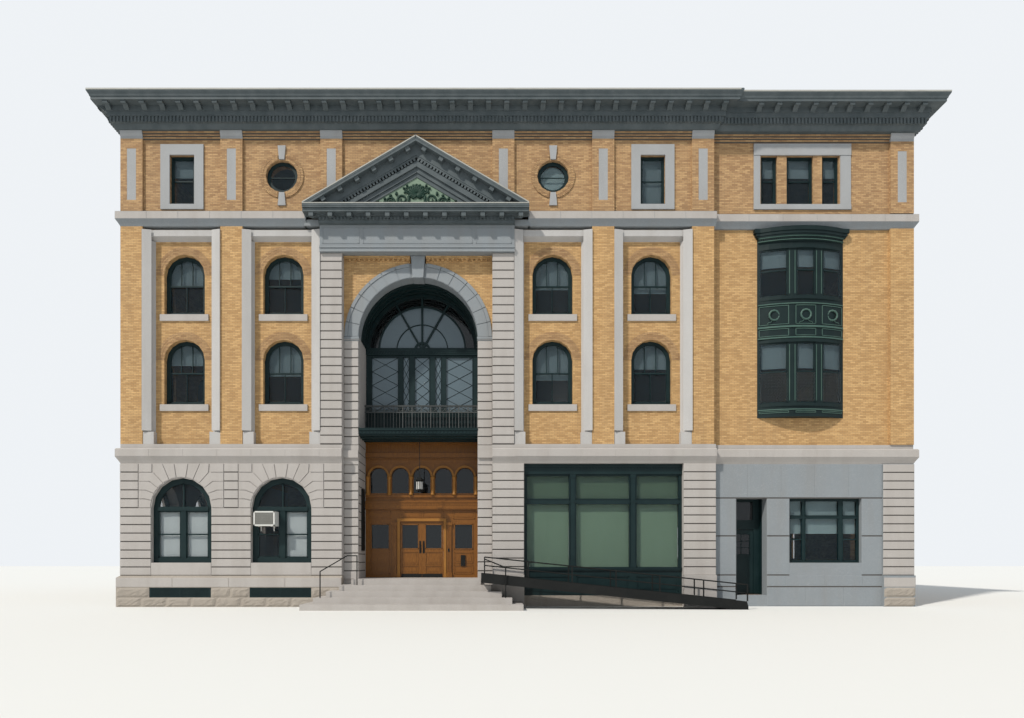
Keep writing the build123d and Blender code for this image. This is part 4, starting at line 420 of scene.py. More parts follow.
# Every finish by name: the slot it fills, the kind of material, and that function's values
FINISHES = {
    "brick": ("brick", brick_material, "buff_brick", (0.62, 0.39, 0.17), (0.43, 0.25, 0.1),
        (0.25, 0.17, 0.1), 1.2),
    "attic_brick": ("brick", brick_material, "attic_brick", (0.53, 0.335, 0.16), (0.33, 0.19, 0.088),
        (0.22, 0.15, 0.1), 1.6),
    "granite": ("granite", granite_material, "dressed_granite", (0.43, 0.405, 0.385), 0.4, 0.006),
    # The cool grey-blue that the granite shows in shade, painted into the colour of the string course,
    # frieze, great arch and side bay
    "shade_grey_granite": ("granite", granite_material, "shade_grey_granite", (0.245, 0.272, 0.295), 0.4, 0.006,
        (0.17, 0.19, 0.2)),
    "pale_granite": ("granite", granite_material, "pale_granite", (0.47, 0.465, 0.46), 0.4, 0.006),
    "attic_granite": ("granite", granite_material, "attic_granite", (0.35, 0.36, 0.37), 0.4, 0.006,
        (0.26, 0.27, 0.28)),
    "rough_granite": ("rough_granite", granite_material, "rock_faced_granite", (0.37, 0.33, 0.285), 0.45,
        0.03, (0.25, 0.21, 0.17)),
    "cornice": ("cornice_metal", paint_material, "weathered_cornice", (0.068, 0.085, 0.092),
        (0.13, 0.15, 0.158), 0.55, 0.6),
    "flashing": ("cornice_metal", paint_material, "pale_flashing", (0.4, 0.4, 0.37), (0.25, 0.24, 0.22),
        0.45, 0.5),
    "green": ("green_paint", paint_material, "dark_green_paint", (0.004, 0.016, 0.018),
        (0.015, 0.035, 0.036), 0.38, 0.4),
    "oriel_green": ("green_paint", paint_material, "oriel_green", (0.004, 0.013, 0.014),
        (0.014, 0.03, 0.029), 0.42, 0.4),
    "pale_green": ("green_paint", paint_material, "pale_green_trim", (0.05, 0.1, 0.085), (0.11, 0.17, 0.14),
        0.4, 0.5),
    "scroll_green": ("green_paint", paint_material, "verdigris_scroll", (0.008, 0.032, 0.022),
        (0.03, 0.07, 0.05), 0.5, 0.6),
    "pale_field": ("green_paint", paint_material, "pale_field", (0.16, 0.23, 0.17), (0.26, 0.33, 0.25), 0.6,
        0.6),
    "iron": ("black_iron", paint_material, "black_iron", (0.005, 0.006, 0.006), (0.02, 0.02, 0.018),
        0.55, 0.3),
    "railing_iron": ("black_iron", paint_material, "railing_iron", (0.07, 0.078, 0.078), (0.12, 0.12, 0.115),
        0.5, 0.5),
    "oak": ("oak", oak_material),
    "glass": ("glass", glass_material, "window_pane", (0.016, 0.028, 0.036), 0.22),
    "dark_glass": ("glass", glass_material, "dark_pane", (0.008, 0.01, 0.011), 0.85),
    # A nearly opaque pale blue pane: painted reflection of the sky in the glass
    "painted_sky_reflection": ("glass", glass_material, "painted_sky_reflection", (0.1, 0.14, 0.165), 0.96, 0.12),
    # Near-black painted shade, laid in the joints between the granite blocks and under the attic corbels
    "joint_colour": ("granite", shade_material, "painted_joint_shade", (0.075, 0.068, 0.062)),
    "shade": ("white_enamel", shade_material, "roller_shade", (0.15, 0.215, 0.24)),
    "white_shade": ("white_enamel", shade_material, "white_shade", (0.72, 0.8, 0.82)),
    "dim_green_shade": ("white_enamel", shade_material, "dim_green_shade", (0.1, 0.17, 0.105)),
    "blue_shade": ("white_enamel", shade_material, "cool_shade", (0.3, 0.42, 0.44)),
    "green_shade": ("white_enamel", shade_material, "green_shade", (0.22, 0.345, 0.235)),
    "roof": ("roofing", paint_material, "roof_membrane", (0.1, 0.1, 0.1), (0.2, 0.19, 0.18), 0.8, 0.6),
    # A lighter copy of the oak for the proud columns, arches and casings of the screen: partly their own
    # lighter colour, partly a painted highlight
    "light_oak_and_sheen": ("oak", paint_material, "light_oak_and_sheen", (0.32, 0.145, 0.03), (0.22, 0.09, 0.017), 0.35, 0.7),
    "boards": ("floor_timber", oak_material),
    "enamel": ("white_enamel", paint_material, "white_enamel", (0.68, 0.68, 0.65), (0.5, 0.49, 0.45),
        0.4, 0.4),
    "brass": ("black_iron", paint_material, "aged_brass", (0.2, 0.13, 0.05), (0.1, 0.07, 0.04),
        0.35, 0.5, 1.0),
}
LOOKS = {look: (slot, kind(*values)) for look, (slot, kind, *values) in FINISHES.items()}

NODE_LOOKS = {
    "granite": ("ground_walls", "shop_piers", "lower_belt", "window_sills", "centre_pilasters", "arch_piers",
                "steps", "landing"),
    # These pieces take the granite colour with its painted shade
    "shade_grey_granite": ("side_bay_stonework", "string_course", "arch_voussoirs", "entablature"),
    "pale_granite": ("panel_frames",),
    "attic_granite": ("attic_stonework",),
    "rough_granite": ("plinth_walls",),
    "brick": ("brick_walls", "brick_pilasters", "arch_spandrel", "right_wall", "back_wall"),
    "attic_brick": ("attic_walls", "attic_brickwork"),
    "cornice": ("main_cornice", "cornice_modillions", "raking_cornice", "pediment_base",
                "pediment_modillions", "tympanum", "back_coping"),
    "green": ("arch_vault", "balcony", "loggia_screen", "shop_front", "window_frames", "side_door",
              "side_door_frame", "vent_panels"),
    "oriel_green": ("oriel",),
    "railing_iron": ("balcony_railing",),
    "iron": ("ramp", "ramp_railings", "handrails", "lantern"),
    "oak": ("main_door_left", "main_door_right", "screen_sides", "screen_arcade"),
    "glass": ("window_glass",),
    "dark_glass": ("screen_glass", "main_door_left_glass", "main_door_right_glass", "side_door_glass"),
    "roof": ("roof",),
    "boards": ("floors",),
    "enamel": ("air_conditioner",),
}


def dress_nodes():
    """Gives each piece of the frame its finish."""
    for look, names in NODE_LOOKS.items():
        for name in names:
            materials = nodes[name].data.materials
            materials.clear()
            materials.append(LOOKS[look][1])


def put(mesh, name, look, body=ROOT, replaces=()):
    """Makes a collected mesh into a piece with a finish, on a body."""
    slot, material = LOOKS[look]
    piece = bpy.data.objects.new(name, mesh.data(name, material))
    bpy.context.scene.collection.objects.link(piece)
    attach(piece, body)
    if replaces:
        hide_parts(*replaces)


# Camera and light: the camera stands across the street at eye height and is aimed level
CAMERA_PLACE = (2.845, -28.0, 1.95)
CAMERA_LENS = 24.117
PHOTO_WIDTH = 1024
CAMERA_SHIFT = (25 / PHOTO_WIDTH, 200 / PHOTO_WIDTH)
SUN_STRENGTH = 3.4
SUN_COLOUR = (1.0, 0.95, 0.87)
SUN_DIRECTION = (0.62, 0.62, -0.9)
SKY_COLOUR, SKY_STRENGTH = (0.86, 0.93, 1.0, 1), 0.62
BACKDROP_COLOUR = (0.86, 0.89, 0.92, 1)


def build_world():
    """A soft sky that lights the object, and a paler one that is seen directly and through glass."""
    world = bpy.data.worlds.new("sky")
    bpy.context.scene.world = world
    world.use_nodes = True
    tree = world.node_tree
    tree.nodes.clear()
    output = tree.nodes.new("ShaderNodeOutputWorld")
    mix = tree.nodes.new("ShaderNodeMixShader")
    for socket, colour, strength in ((1, SKY_COLOUR, SKY_STRENGTH), (2, BACKDROP_COLOUR, 1.0)):
        light = tree.nodes.new("ShaderNodeBackground")
        light.inputs[0].default_value = colour
        light.inputs[1].default_value = strength
        tree.links.new(light.outputs[0], mix.inputs[socket])
    path = tree.nodes.new("ShaderNodeLightPath")
    either = tree.nodes.new("ShaderNodeMath")
    either.operation = "MAXIMUM"
    tree.links.new(path.outputs["Is Camera Ray"], either.inputs[0])
    tree.links.new(path.outputs["Is Transmission Ray"], either.inputs[1])
    tree.links.new(either.outputs[0], mix.inputs[0])
    tree.links.new(mix.outputs[0], output.inputs[0])


def build_stage():
    """A plain pale floor, soft light from the upper left, and the camera across the street."""
    scene = bpy.context.scene
    floor_mesh = Mesh()
    floor_mesh.box(-160, 160, -90, 160, -0.4, 0)
    pale = Nodes("pale_floor").finish((0.72, 0.72, 0.7), 0.9)
    floor = bpy.data.objects.new("floor", floor_mesh.data("floor", pale))
    scene.collection.objects.link(floor)
    sun_data = bpy.data.lights.new("sun", "SUN")
    sun_data.energy = SUN_STRENGTH
    sun_data.angle = math.radians(2.5)
    sun_data.color = SUN_COLOUR
    sun = bpy.data.objects.new("sun", sun_data)
    sun.rotation_euler = Vector(SUN_DIRECTION).to_track_quat("-Z", "Y").to_euler()
    scene.collection.objects.link(sun)
    build_world()
    camera_data = bpy.data.cameras.new("camera")
    camera_data.sensor_width = 36
    camera_data.lens = CAMERA_LENS
    camera_data.shift_x, camera_data.shift_y = CAMERA_SHIFT
    camera_data.clip_end = 1000
    camera = bpy.data.objects.new("camera", camera_data)
    camera.location = CAMERA_PLACE
    camera.rotation_euler = (math.radians(90), 0, 0)
    scene.collection.objects.link(camera)
    scene.camera = camera
    scene.view_settings.view_transform = "Standard"


# Stonework: courses of blocks with open joints on the granite faces
STONE_JOINT = 0.042
SIDE_JOINT = 0.01
STONE_PROUD = 0.032
SEATED = 0.002
GROUND_ARCH = 1.23
GROUND_SPRING = GROUND_TOP - 1.816
GROUND_SILL = PLINTH_TOP + 0.524
LONG_STONE = 2.4
ONE_STONE = 3.0
LANDING_TOP = 1.46
CORNER_PIER = 1.28
# The side bay's door and window as (centre, half width, foot, head), and its courses
SIDE_BAY_HOLES = ((13.736, 0.64, 0.0, 4.46), (16.785, 1.49, 1.8, 4.46))
SIDE_BAY_COURSES = (0.0, 0.81, 1.29, 2.9, 4.46, GROUND_TOP)

# Dark strips in the joints between the stones: painted shade in the channels
JOINT_SHADE = Mesh()


def coursed(mesh, x0, x1, levels, holes=(), plane=0.0, place=FRONT, block=ONE_STONE, proud=STONE_PROUD,
            shift=True):
    """Lays courses of blocks between two lines, round the holes, with the joints of each course staggered."""
    gap, side_gap = STONE_JOINT / 2, SIDE_JOINT / 2
    for row, (z0, z1) in enumerate(zip(levels, levels[1:])):
        edges = [x0]
        for centre, half, foot, head in sorted(holes):
            if foot <= (z0 + z1) / 2 <= head:
                edges += [centre - half, centre + half]
        edges.append(x1)
        for left, right in zip(edges[::2], edges[1::2]):
            width = right - left
            # A dark strip in each level joint, painted shade in the channel
            if z0 > gap:
                JOINT_SHADE.box(left, right, plane - 0.005, plane + 0.001, *span(z0, gap), place)
            count = max(1, round(width / block))
            cuts = steps(left, right, count)
            if shift and row % 2 and width > 0.7 * block:
                cuts = [left] + [left + width * (number + 0.5) / count for number in range(count)] + [right]
            for start, end in zip(cuts, cuts[1:]):
                mesh.stone(start + side_gap, end - side_gap, plane - proud, plane + SEATED, z0 + gap,
                           z1 - gap, place=place, closed=False)


# Joints of the ground arches as (degrees at the opening, elbow out from the middle), then those that run up
# to the top without an elbow
BENT_JOINTS = ((14, 1.53), (28, 1.49), (41, 1.31), (54, 1.13))
TOP_JOINTS = (67, 81)
ARCH_REACH = 1.75
ARCH_STONE_GAP = 0.02


def arch_stones(mesh, centre, place):
    """Arch stones whose joints fan out from the opening and then turn level with the courses."""
    top = GROUND_TOP - 0.006
    near = GROUND_ARCH + 0.004
    rows = steps(GROUND_SPRING, top, 5)

    def rim(degrees):
        angle = math.radians(degrees)
        return (near * math.cos(angle), GROUND_SPRING + near * math.sin(angle))

    def reach(degrees):
        """How far out a straight joint is when it meets the top course."""
        return (top - GROUND_SPRING) / math.tan(math.radians(degrees))

    def lay(points, sign):
        cx = sum(x for x, z in points) / len(points)
        cz = sum(z for x, z in points) / len(points)
        outline = []
        for x, z in points:
            share = ARCH_STONE_GAP / math.hypot(x - cx, z - cz)
            outline.append((centre + sign * (x + (cx - x) * share), z + (cz - z) * share))
        mesh.slab(outline[::sign], -STONE_PROUD, SEATED, place, 0.014)

    first, second = TOP_JOINTS
    for sign in (-1, 1):
        angle, elbow = 0, near
        for low, high, (degrees, turn) in zip(rows, rows[1:], BENT_JOINTS):
            lay([rim(angle), (elbow, low), (ARCH_REACH, low), (ARCH_REACH, high), (turn, high), rim(degrees),
                 rim((angle + degrees) / 2)], sign)
            angle, elbow = degrees, turn
        lay([rim(angle), (elbow, rows[4]), (elbow + 0.02, top), (reach(first), top), rim(first),
             rim((angle + first) / 2)], sign)
        lay([(elbow + 0.05, rows[4]), (ARCH_REACH, rows[4]), (ARCH_REACH, top), (elbow + 0.05, top)], sign)
        lay([rim(first), (reach(first), top), (reach(second), top), rim(second),
             rim((first + second) / 2)], sign)
    lay([rim(second), (reach(second), top), (-reach(second), top), rim(180 - second), rim(90)], 1)
    mesh.stone(*span(centre, GROUND_ARCH), -STONE_PROUD, SEATED, PLINTH_TOP + 0.02,
               GROUND_SILL - 0.004, place=place)


def build_rusticated_granite():
    """Channelled blocks of the ground storey, the shop piers, the corner pier and the centre pilasters."""
    stones, upper, smooth = Mesh(), Mesh(), Mesh()
    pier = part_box("arch_piers")[1].x
    below, above = steps(PLINTH_TOP, GROUND_SPRING, 8), steps(GROUND_SPRING, GROUND_TOP, 5)
    for x0, x1, bays, place in ((LEFT, -pier, (-OUTER_BAY, -INNER_BAY), FRONT),
                                (0.0, DEPTH, SIDE_BAYS, LEFT_SIDE)):
        for rows, half in ((below, GROUND_ARCH), (above, ARCH_REACH)):
            holes = [(bay, half, rows[0], rows[-1]) for bay in bays]
            coursed(stones, x0, x1, rows, holes, place=place, block=LONG_STONE)
    for centre, place in GROUND_PLACES:
        arch_stones(stones, centre, place)
    levels = steps(PLINTH_TOP, GROUND_TOP, 13)
    piers_low, piers_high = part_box("shop_piers")
    shop_low, shop_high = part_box("shop_front")
    coursed(stones, piers_low.x, shop_low.x, levels)
    coursed(stones, shop_high.x, piers_high.x, levels)
    bay_low, bay_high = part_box("side_bay_stonework")
    coursed(stones, bay_high.x - CORNER_PIER, bay_high.x, levels, plane=0.19)
    put(stones, "ground_stones", "granite")
    low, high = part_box("centre_pilasters")
    for sign in (-1, 1):
        coursed(upper, *sorted((sign * (pier + 0.002), sign * CENTRE_OUTER)), steps(low.z, high.z, 22))
        face = sorted((sign * (PORCH + 0.002), sign * (pier - 0.002)))
        for foot, head in ((BELT_TOP, 10.98), (LANDING_TOP, GROUND_TOP)):
            coursed(upper, *face, steps(foot, head, 12), plane=0.35, shift=False)
        coursed(upper, *sorted((sign * 0.36, sign * 1.86)), steps(LANDING_TOP, SCREEN_HEAD, 16),
                place=turned(sign * PORCH, 0, 90 * sign), block=LONG_STONE, proud=0.015)
    put(upper, "centre_stones", "granite")
    coursed(smooth, bay_low.x, bay_high.x - CORNER_PIER, SIDE_BAY_COURSES, SIDE_BAY_HOLES, plane=0.25,
            block=1.5, proud=0.012)
    # The side bay's blocks take the granite colour with its painted shade
    put(smooth, "side_bay_blocks", "shade_grey_granite")


ROCK_CELL = 0.12
ROCK_ROWS = 5
ROCK_COURSES = ((0.0, 0.385), (0.385, 0.79))
ROCK_GAP = 0.008
VENT_HALF = 1.256
# Runs of the plinth: left end, right end, the bays with a vent, the plane of the wall and the place
PLINTH_RUNS = ((LEFT - 0.12, -3.07, (-OUTER_BAY, -INNER_BAY), -0.12, FRONT),
               (0.0, DEPTH + 0.12, SIDE_BAYS, -0.12, LEFT_SIDE), (19.1, SIDE_RIGHT, (), 0.09, FRONT))


def rock(mesh, x0, x1, z0, z1, front, back, seed, place):
    """A rock-faced block: a chipped margin round a rough, bulging face."""
    chance = random.Random(seed)
    across = max(3, round((x1 - x0) / ROCK_CELL))
    points, faces = [], []
    for row in range(ROCK_ROWS + 1):
        for column in range(across + 1):
            x, y, z = x0 + (x1 - x0) * column / across, back, z0 + (z1 - z0) * row / ROCK_ROWS
            if min(row, column, ROCK_ROWS - row, across - column) > 0:
                y += (front - back) * (0.55 + 0.45 * chance.random())
                x += chance.uniform(-0.02, 0.02)
            points.append((x, y, z))
    for row in range(ROCK_ROWS):
        for column in range(across):
            first = row * (across + 1) + column
            faces.append((first, first + 1, first + across + 2, first + across + 1))
    mesh.add(points, faces, place)


def build_rock_faces():
    """Rough blocks of the plinth under a course of smooth long stones."""
    rocks, caps = Mesh(), Mesh()
    for x0, x1, bays, plane, place in PLINTH_RUNS:
        for row, (z0, z1) in enumerate(ROCK_COURSES):
            vents = [edge for bay in bays for edge in span(bay, VENT_HALF)] if row else []
            edges = sorted([x0, *vents, x1])
            for left, right in zip(edges[::2], edges[1::2]):
                for number, (a, b) in enumerate(parts(left, right, max(1, round(right - left)), ROCK_GAP)):
                    seed = 31 * row + number
                    rock(rocks, a, b, z0 + ROCK_GAP, z1 - ROCK_GAP, plane - 0.05, plane + 0.001, seed, place)
        for a, b in parts(x0, x1, max(1, round((x1 - x0) / 2.1)), 0.006):
            caps.stone(a, b, plane - 0.012, plane + SEATED, 0.81, PLINTH_TOP - 0.09, 0.008, place)
    put(rocks, "plinth_rocks", "rough_granite")
    put(caps, "plinth_caps", "granite")


# Timber of the windows, just in front of the glass
BAR = 0.032
BRICK_PITCH = 0.0665
UPPER_HALF = 0.725
# Foot and spring line of the arched windows of each storey, and how far each roller shade hangs from the rail
UPPER_ROWS = ((8.43, 10.15), (12.14, 13.66))
SHADE_DROPS = (0.35, -0.25, 0.05, -0.1, 0.2)
# Front and back of the sashes, the shades and the brick arches
UPPER_SASH, UPPER_SHADE, ARCH_PLANES = (0.53, 0.569), (0.64, 0.648), (0.288, 0.302)
UPRIGHT_BARS = (-0.235, 0.235)
ARCH_RINGS = (0.835, 0.945, 1.055)


def build_upper_windows():
    """Sashes, bars, roller shades and brick arches of the arched windows of the brick storeys."""
    bars, shades, brickwork = Mesh(), Mesh(), Mesh()
    half, edge = UPPER_HALF, 0.055
    front, back = UPPER_SASH
    for number, (centre, place) in enumerate(UPPER_PLACES):
        for row, (foot, spring) in enumerate(UPPER_ROWS):
            rail = (foot + spring + half) / 2
            bars.box(centre - half, centre - half + edge, front, back, foot, spring, place)
            bars.box(centre + half - edge, centre + half, front, back, foot, spring, place)
            bars.box(*span(centre, half), front, back, foot, foot + edge, place)
            bars.ring(centre, spring, half - edge, half, front, back, 0, 180, 18, place)
            bars.box(*span(centre, half), front - 0.02, back, *span(rail, 0.03), place)
            for x in UPRIGHT_BARS:
                top = spring + math.sqrt(half * half - x * x)
                bars.box(*span(centre + x, BAR / 2), front, back, rail, top, place)
            bars.box(*span(centre, BAR / 2), front, back, foot, rail, place)
            drop = rail + SHADE_DROPS[(3 * number + 2 * row) % len(SHADE_DROPS)]
            outline = [(centre - half, drop), (centre + half, drop)] + arc(centre, spring, half, 18)
            shades.slab(outline, *UPPER_SHADE, place)
            for inner in ARCH_RINGS:
                for start, end in parts(0, 180, round(math.pi * inner / BRICK_PITCH), 0.28):
                    brickwork.ring(centre, spring, inner + 0.005, inner + 0.105, *ARCH_PLANES, start, end, 1,
                                   place)
    put(bars, "upper_window_bars", "green")
    put(shades, "upper_window_shades", "shade")
    put(brickwork, "brick_arches", "attic_brick")


TRANSOM_FOOT, TRANSOM_HEAD = 3.93, 4.1
GROUND_BORDER = 0.195
GROUND_SASH, GROUND_BLIND = (0.215, 0.259), (0.33, 0.336)


def build_ground_windows():
    """The wide arched windows below: a transom, a middle post, four sashes and a half-round light."""
    timber, blinds = Mesh(), Mesh()
    half = GROUND_ARCH - GROUND_BORDER
    foot = GROUND_SILL + GROUND_BORDER
    front, back = GROUND_SASH
    rails = (foot + 0.03, (foot + TRANSOM_FOOT) / 2, TRANSOM_FOOT - 0.03)
    for centre, place in GROUND_PLACES:
        timber.box(*span(centre, half), front - 0.05, back, TRANSOM_FOOT, TRANSOM_HEAD, place)
        timber.box(*span(centre, 0.11), front - 0.03, back, foot, TRANSOM_FOOT, place)
        timber.box(*span(centre, BAR), front, back, TRANSOM_HEAD, GROUND_SPRING + half, place)
        timber.ring(centre, GROUND_SPRING, half - 0.05, half, front, back, 3, 177, 20, place)
        for near, far in both(0.11, half):
            x0, x1 = centre + near, centre + far
            timber.box(x0, x0 + 0.05, front, back, foot, TRANSOM_FOOT, place)
            timber.box(x1 - 0.05, x1, front, back, foot, TRANSOM_FOOT, place)
            for z in rails:
                timber.box(x0, x1, front, back, *span(z, 0.03), place)
        for near, far in both(0.12, half):
            # The sash behind the air conditioner has no blind
            if place is LEFT_SIDE or centre < -INNER_BAY - 1 or near > 0:
                blinds.box(centre + near, centre + far, *GROUND_BLIND, foot, TRANSOM_FOOT - 0.04, place)
    put(timber, "ground_window_bars", "green")
    put(blinds, "ground_window_blinds", "white_shade")


# Attic windows as (centre, half width, place), those of the triple window, and the round ones
SQUARE_WINDOWS = [(-OUTER_BAY, 0.505, FRONT), (OUTER_BAY, 0.505, FRONT)]
SQUARE_WINDOWS += [(centre, 0.505, LEFT_SIDE) for centre in SIDE_BAYS[::2]]
TRIPLE_WINDOW = [(14.485, 0.335, FRONT), (15.76, 0.55, FRONT), (17.02, 0.35, FRONT)]
TRIPLE_JAMBS = ((13.845, 14.11), (17.41, 17.845))
ROUND_WINDOWS = [(-INNER_BAY, FRONT), (INNER_BAY, FRONT)] + LEFT_PLACES[1::2]
ROUND_MIDDLE = 17.62
ROUND_GLASS = 0.5
ROUND_RINGS = (0.66, 0.78)
# How far the sashes lie inside the opening, and how wide their strips are
SQUARE_EDGE, SQUARE_STRIP = 0.07, 0.045


def build_attic_windows():
    """Double-hung sashes of the square windows, a bar across each round one, and brick rings about those."""
    timber, shades, rings, blind, jambs = Mesh(), Mesh(), Mesh(), Mesh(), Mesh()
    squares = [(window, 16.47, 18.48, 0.22) for window in SQUARE_WINDOWS]
    squares += [(window, 16.57, 18.59, 0.43) for window in TRIPLE_WINDOW]
    for (centre, half, place), foot, head, plane in squares:
        x0, x1 = span(centre, half - SQUARE_EDGE)
        z0, z1 = foot + SQUARE_EDGE, head - SQUARE_EDGE
        front, back = plane + 0.02, plane + 0.058
        for x in (x0, x1 - SQUARE_STRIP):
            timber.box(x, x + SQUARE_STRIP, front, back, z0, z1, place)
        for z in (z0, (foot + head) / 2 - 0.02, z1 - SQUARE_STRIP):
            timber.box(x0, x1, front, back, z, z + SQUARE_STRIP, place)
        drawn = z0 if place is FRONT and centre == OUTER_BAY else (foot + head) / 2 + 0.2
        shades.box(x0, x1, plane + 0.13, plane + 0.136, drawn, z1, place)
    for centre, place in ROUND_WINDOWS:
        timber.ring(centre, ROUND_MIDDLE, ROUND_GLASS, 0.572, 0.225, 0.248, 0, 360, 32, place)
        timber.box(*span(centre, ROUND_GLASS), 0.228, 0.248, *span(ROUND_MIDDLE, 0.02), place)
        for inner in ROUND_RINGS:
            for start, end in parts(0, 360, round(math.tau * inner / BRICK_PITCH), 0.4):
                # The keystones above and below take up the rest of the ring
                if abs((start + end) / 2 % 180 - 90) > 12:
                    rings.ring(centre, ROUND_MIDDLE, inner, inner + 0.11, 0.058, 0.072, start, end, 1, place)
    blind.slab(circle(INNER_BAY, ROUND_MIDDLE, ROUND_GLASS, 24), 0.35, 0.356)
    for x0, x1 in TRIPLE_JAMBS:
        jambs.box(x0, x1, 0.27, 0.312, 16.575, 18.585)
    put(jambs, "triple_window_jambs", "attic_granite")
    put(blind, "round_window_blind", "blue_shade")
    put(timber, "attic_window_bars", "green")
    put(shades, "attic_window_shades", "shade")
    put(rings, "round_window_rings", "attic_brick")


PLAIN_ROWS = ((1.9, 4.3), (8.2, 10.6), (12.0, 14.3), (16.6, 18.4))


def build_plain_windows():
    """Bars of the plain windows at the back and on the right side."""
    timber = Mesh()
    for centre, place in PLAIN_PLACES:
        for foot, head in PLAIN_ROWS:
            middle = (foot + head) / 2
            timber.box(*span(centre, 0.545), 0.14, 0.178, *span(middle, 0.03), place)
            timber.box(*span(centre, BAR / 2), 0.145, 0.178, foot + 0.08, head - 0.08, place)
    put(timber, "plain_window_bars", "green")


# Cornice: dentils, scrolled brackets and a pale edge of flashing
DENTIL_PITCH = 0.1425
DENTIL_WIDTH = 0.08
BRACKET_PITCH = 0.727
BRACKET_WIDTH = 0.2


def dentils(mesh, x0, x1, y0, y1, z0, z1, place=FRONT, pitch=DENTIL_PITCH, width=DENTIL_WIDTH):
    """A row of small square blocks between two ends."""
    for start, end in parts(x0, x1, int((x1 - x0) / pitch)):
        x = (start + end) / 2
        mesh.box(*span(x, width / 2), y0, y1, z0, z1, place)


def scroll_bracket(mesh, x, back, place):
    """A bracket whose side is an S-curve: deep at the back and curling up to a small roll in front."""
    foot, head = (corner.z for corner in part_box("cornice_modillions"))
    depth, tall = 0.34, head - foot
    front = back - depth
    profile = []
    for share in steps(0, 1, 12):
        drop = (0.5 + 0.5 * math.cos(math.pi * share)) * 0.72 + 0.28 * (1 - share) ** 2
        profile.append((back - depth * 0.92 * share, head - tall * max(drop, 0.26)))
    roll = 0.28 * tall
    for degrees in range(-80, 71, 30):
        angle = math.radians(degrees)
        profile.append((front + roll * 0.9 * (1 - math.cos(angle)), head - roll - roll * math.sin(angle)))
    profile += [(front, head), (back, head)]
    half, count = BRACKET_WIDTH / 2, len(profile)
    faces = [tuple(range(count)), tuple(reversed(range(count, 2 * count)))]
    faces += [(k, (k + 1) % count, (k + 1) % count + count, k + count) for k in range(count)]
    mesh.add([(side, y, z) for side in (x - half, x + half) for y, z in profile], faces, place)
    mesh.box(x - half - 0.012, x + half + 0.012, front - 0.02, back, head - 0.022, head, place)


def build_cornice_trim():
    """Scrolled brackets, dentils and a pale edge of flashing on the main cornice."""
    brackets, teeth, edge = Mesh(), Mesh(), Mesh()
    first = -17 * BRACKET_PITCH
    corner = DEPTH - first + LEFT
    right = turned(SIDE_RIGHT, 0.12, 90)
    side_count = int(corner // BRACKET_PITCH) + 1
    runs = [(first + number * BRACKET_PITCH, -0.4, FRONT) for number in range(35)]
    runs += [(first + number * BRACKET_PITCH, -0.28, FRONT) for number in range(36, 46)]
    runs += [(corner - number * BRACKET_PITCH, -0.4, LEFT_SIDE) for number in range(side_count)]
    runs += [(BRACKET_PITCH * (number + 0.5), -0.4, right) for number in range(3)]
    for x, back, place in runs:
        scroll_bracket(brackets, x, back, place)
    put(brackets, "scroll_brackets", "cornice", replaces=("cornice_modillions",))
    for x0, x1, front, place in ((LEFT - 0.3, -LEFT + 0.2, -0.335, FRONT),
                                 (-LEFT + 0.3, SIDE_RIGHT + 0.3, -0.215, FRONT),
                                 (0.0, DEPTH + 0.3, -0.335, LEFT_SIDE), (0.0, DEPTH - 0.15, -0.335, right)):
        dentils(teeth, x0, x1, front, front + 0.05, 19.6, 19.82, place)
    put(teeth, "cornice_dentils", "cornice")
    top = CORNICE_TOP - 0.002
    for x0, x1, front in ((LEFT - 0.895, -LEFT + 0.78, -0.906), (-LEFT + 0.78, SIDE_RIGHT + 0.895, -0.786)):
        edge.box(x0, x1, front, front + 0.007, top - 0.06, top)
    put(edge, "cornice_flashing", "flashing")


# Entry screen of oak and its doors: their mouldings reach a hair behind its face at y 2.0
SCREEN_SEAT = 2.001
ARCADE_PITCH = 0.944
ARCADE_SPRING = SCREEN_HEAD - 1.502
# Turned profile of the small columns as (radius, z)
COLUMN = ((0.088, 4.735), (0.088, 4.8), (0.068, 4.83), (0.066, ARCADE_SPRING - 0.13),
          (0.088, ARCADE_SPRING - 0.1), (0.1, ARCADE_SPRING))
# Rows of small blocks and plain rails across the screen, as (front, back, foot, head)
FINE_DENTILS = (1.978, SCREEN_SEAT, 6.6, SCREEN_HEAD - 0.06)
WIDE_DENTILS = ((1.9, 1.931, 6.3, 6.37), (1.86, 1.881, 4.3, 4.37))
SCREEN_RAILS = ((1.86, 2.0, SCREEN_HEAD - 0.07, SCREEN_HEAD), (1.855, 1.881, 4.41, 4.47),
                (1.868, 1.881, 4.14, 4.17))
HEAD_PANELS = both(0.04, 0.95) + both(1.36, 2.32)
# Letter box and its lip, lock plate, and the back of the notice case on the left jamb
DARK_BOXES = ((1.7, 1.9, 1.93, 1.99, 1.65, 2.12), (1.72, 1.88, 1.922, 1.932, 1.96, 2.02),
              (1.135, 1.205, 1.905, 1.93, 2.27, 2.41), (-2.462, -2.42, 0.95, 1.5, 2.34, 4.85))


def bead_frame(mesh, x0, x1, z0, z1, front, back, width=0.028, place=FRONT):
    """A raised moulding round a rectangle."""
    mesh.box(x0, x1, front, back, z0, z0 + width, place)
    mesh.box(x0, x1, front, back, z1 - width, z1, place)
    mesh.box(x0, x0 + width, front, back, z0, z1, place)
    mesh.box(x1 - width, x1, front, back, z0, z1, place)


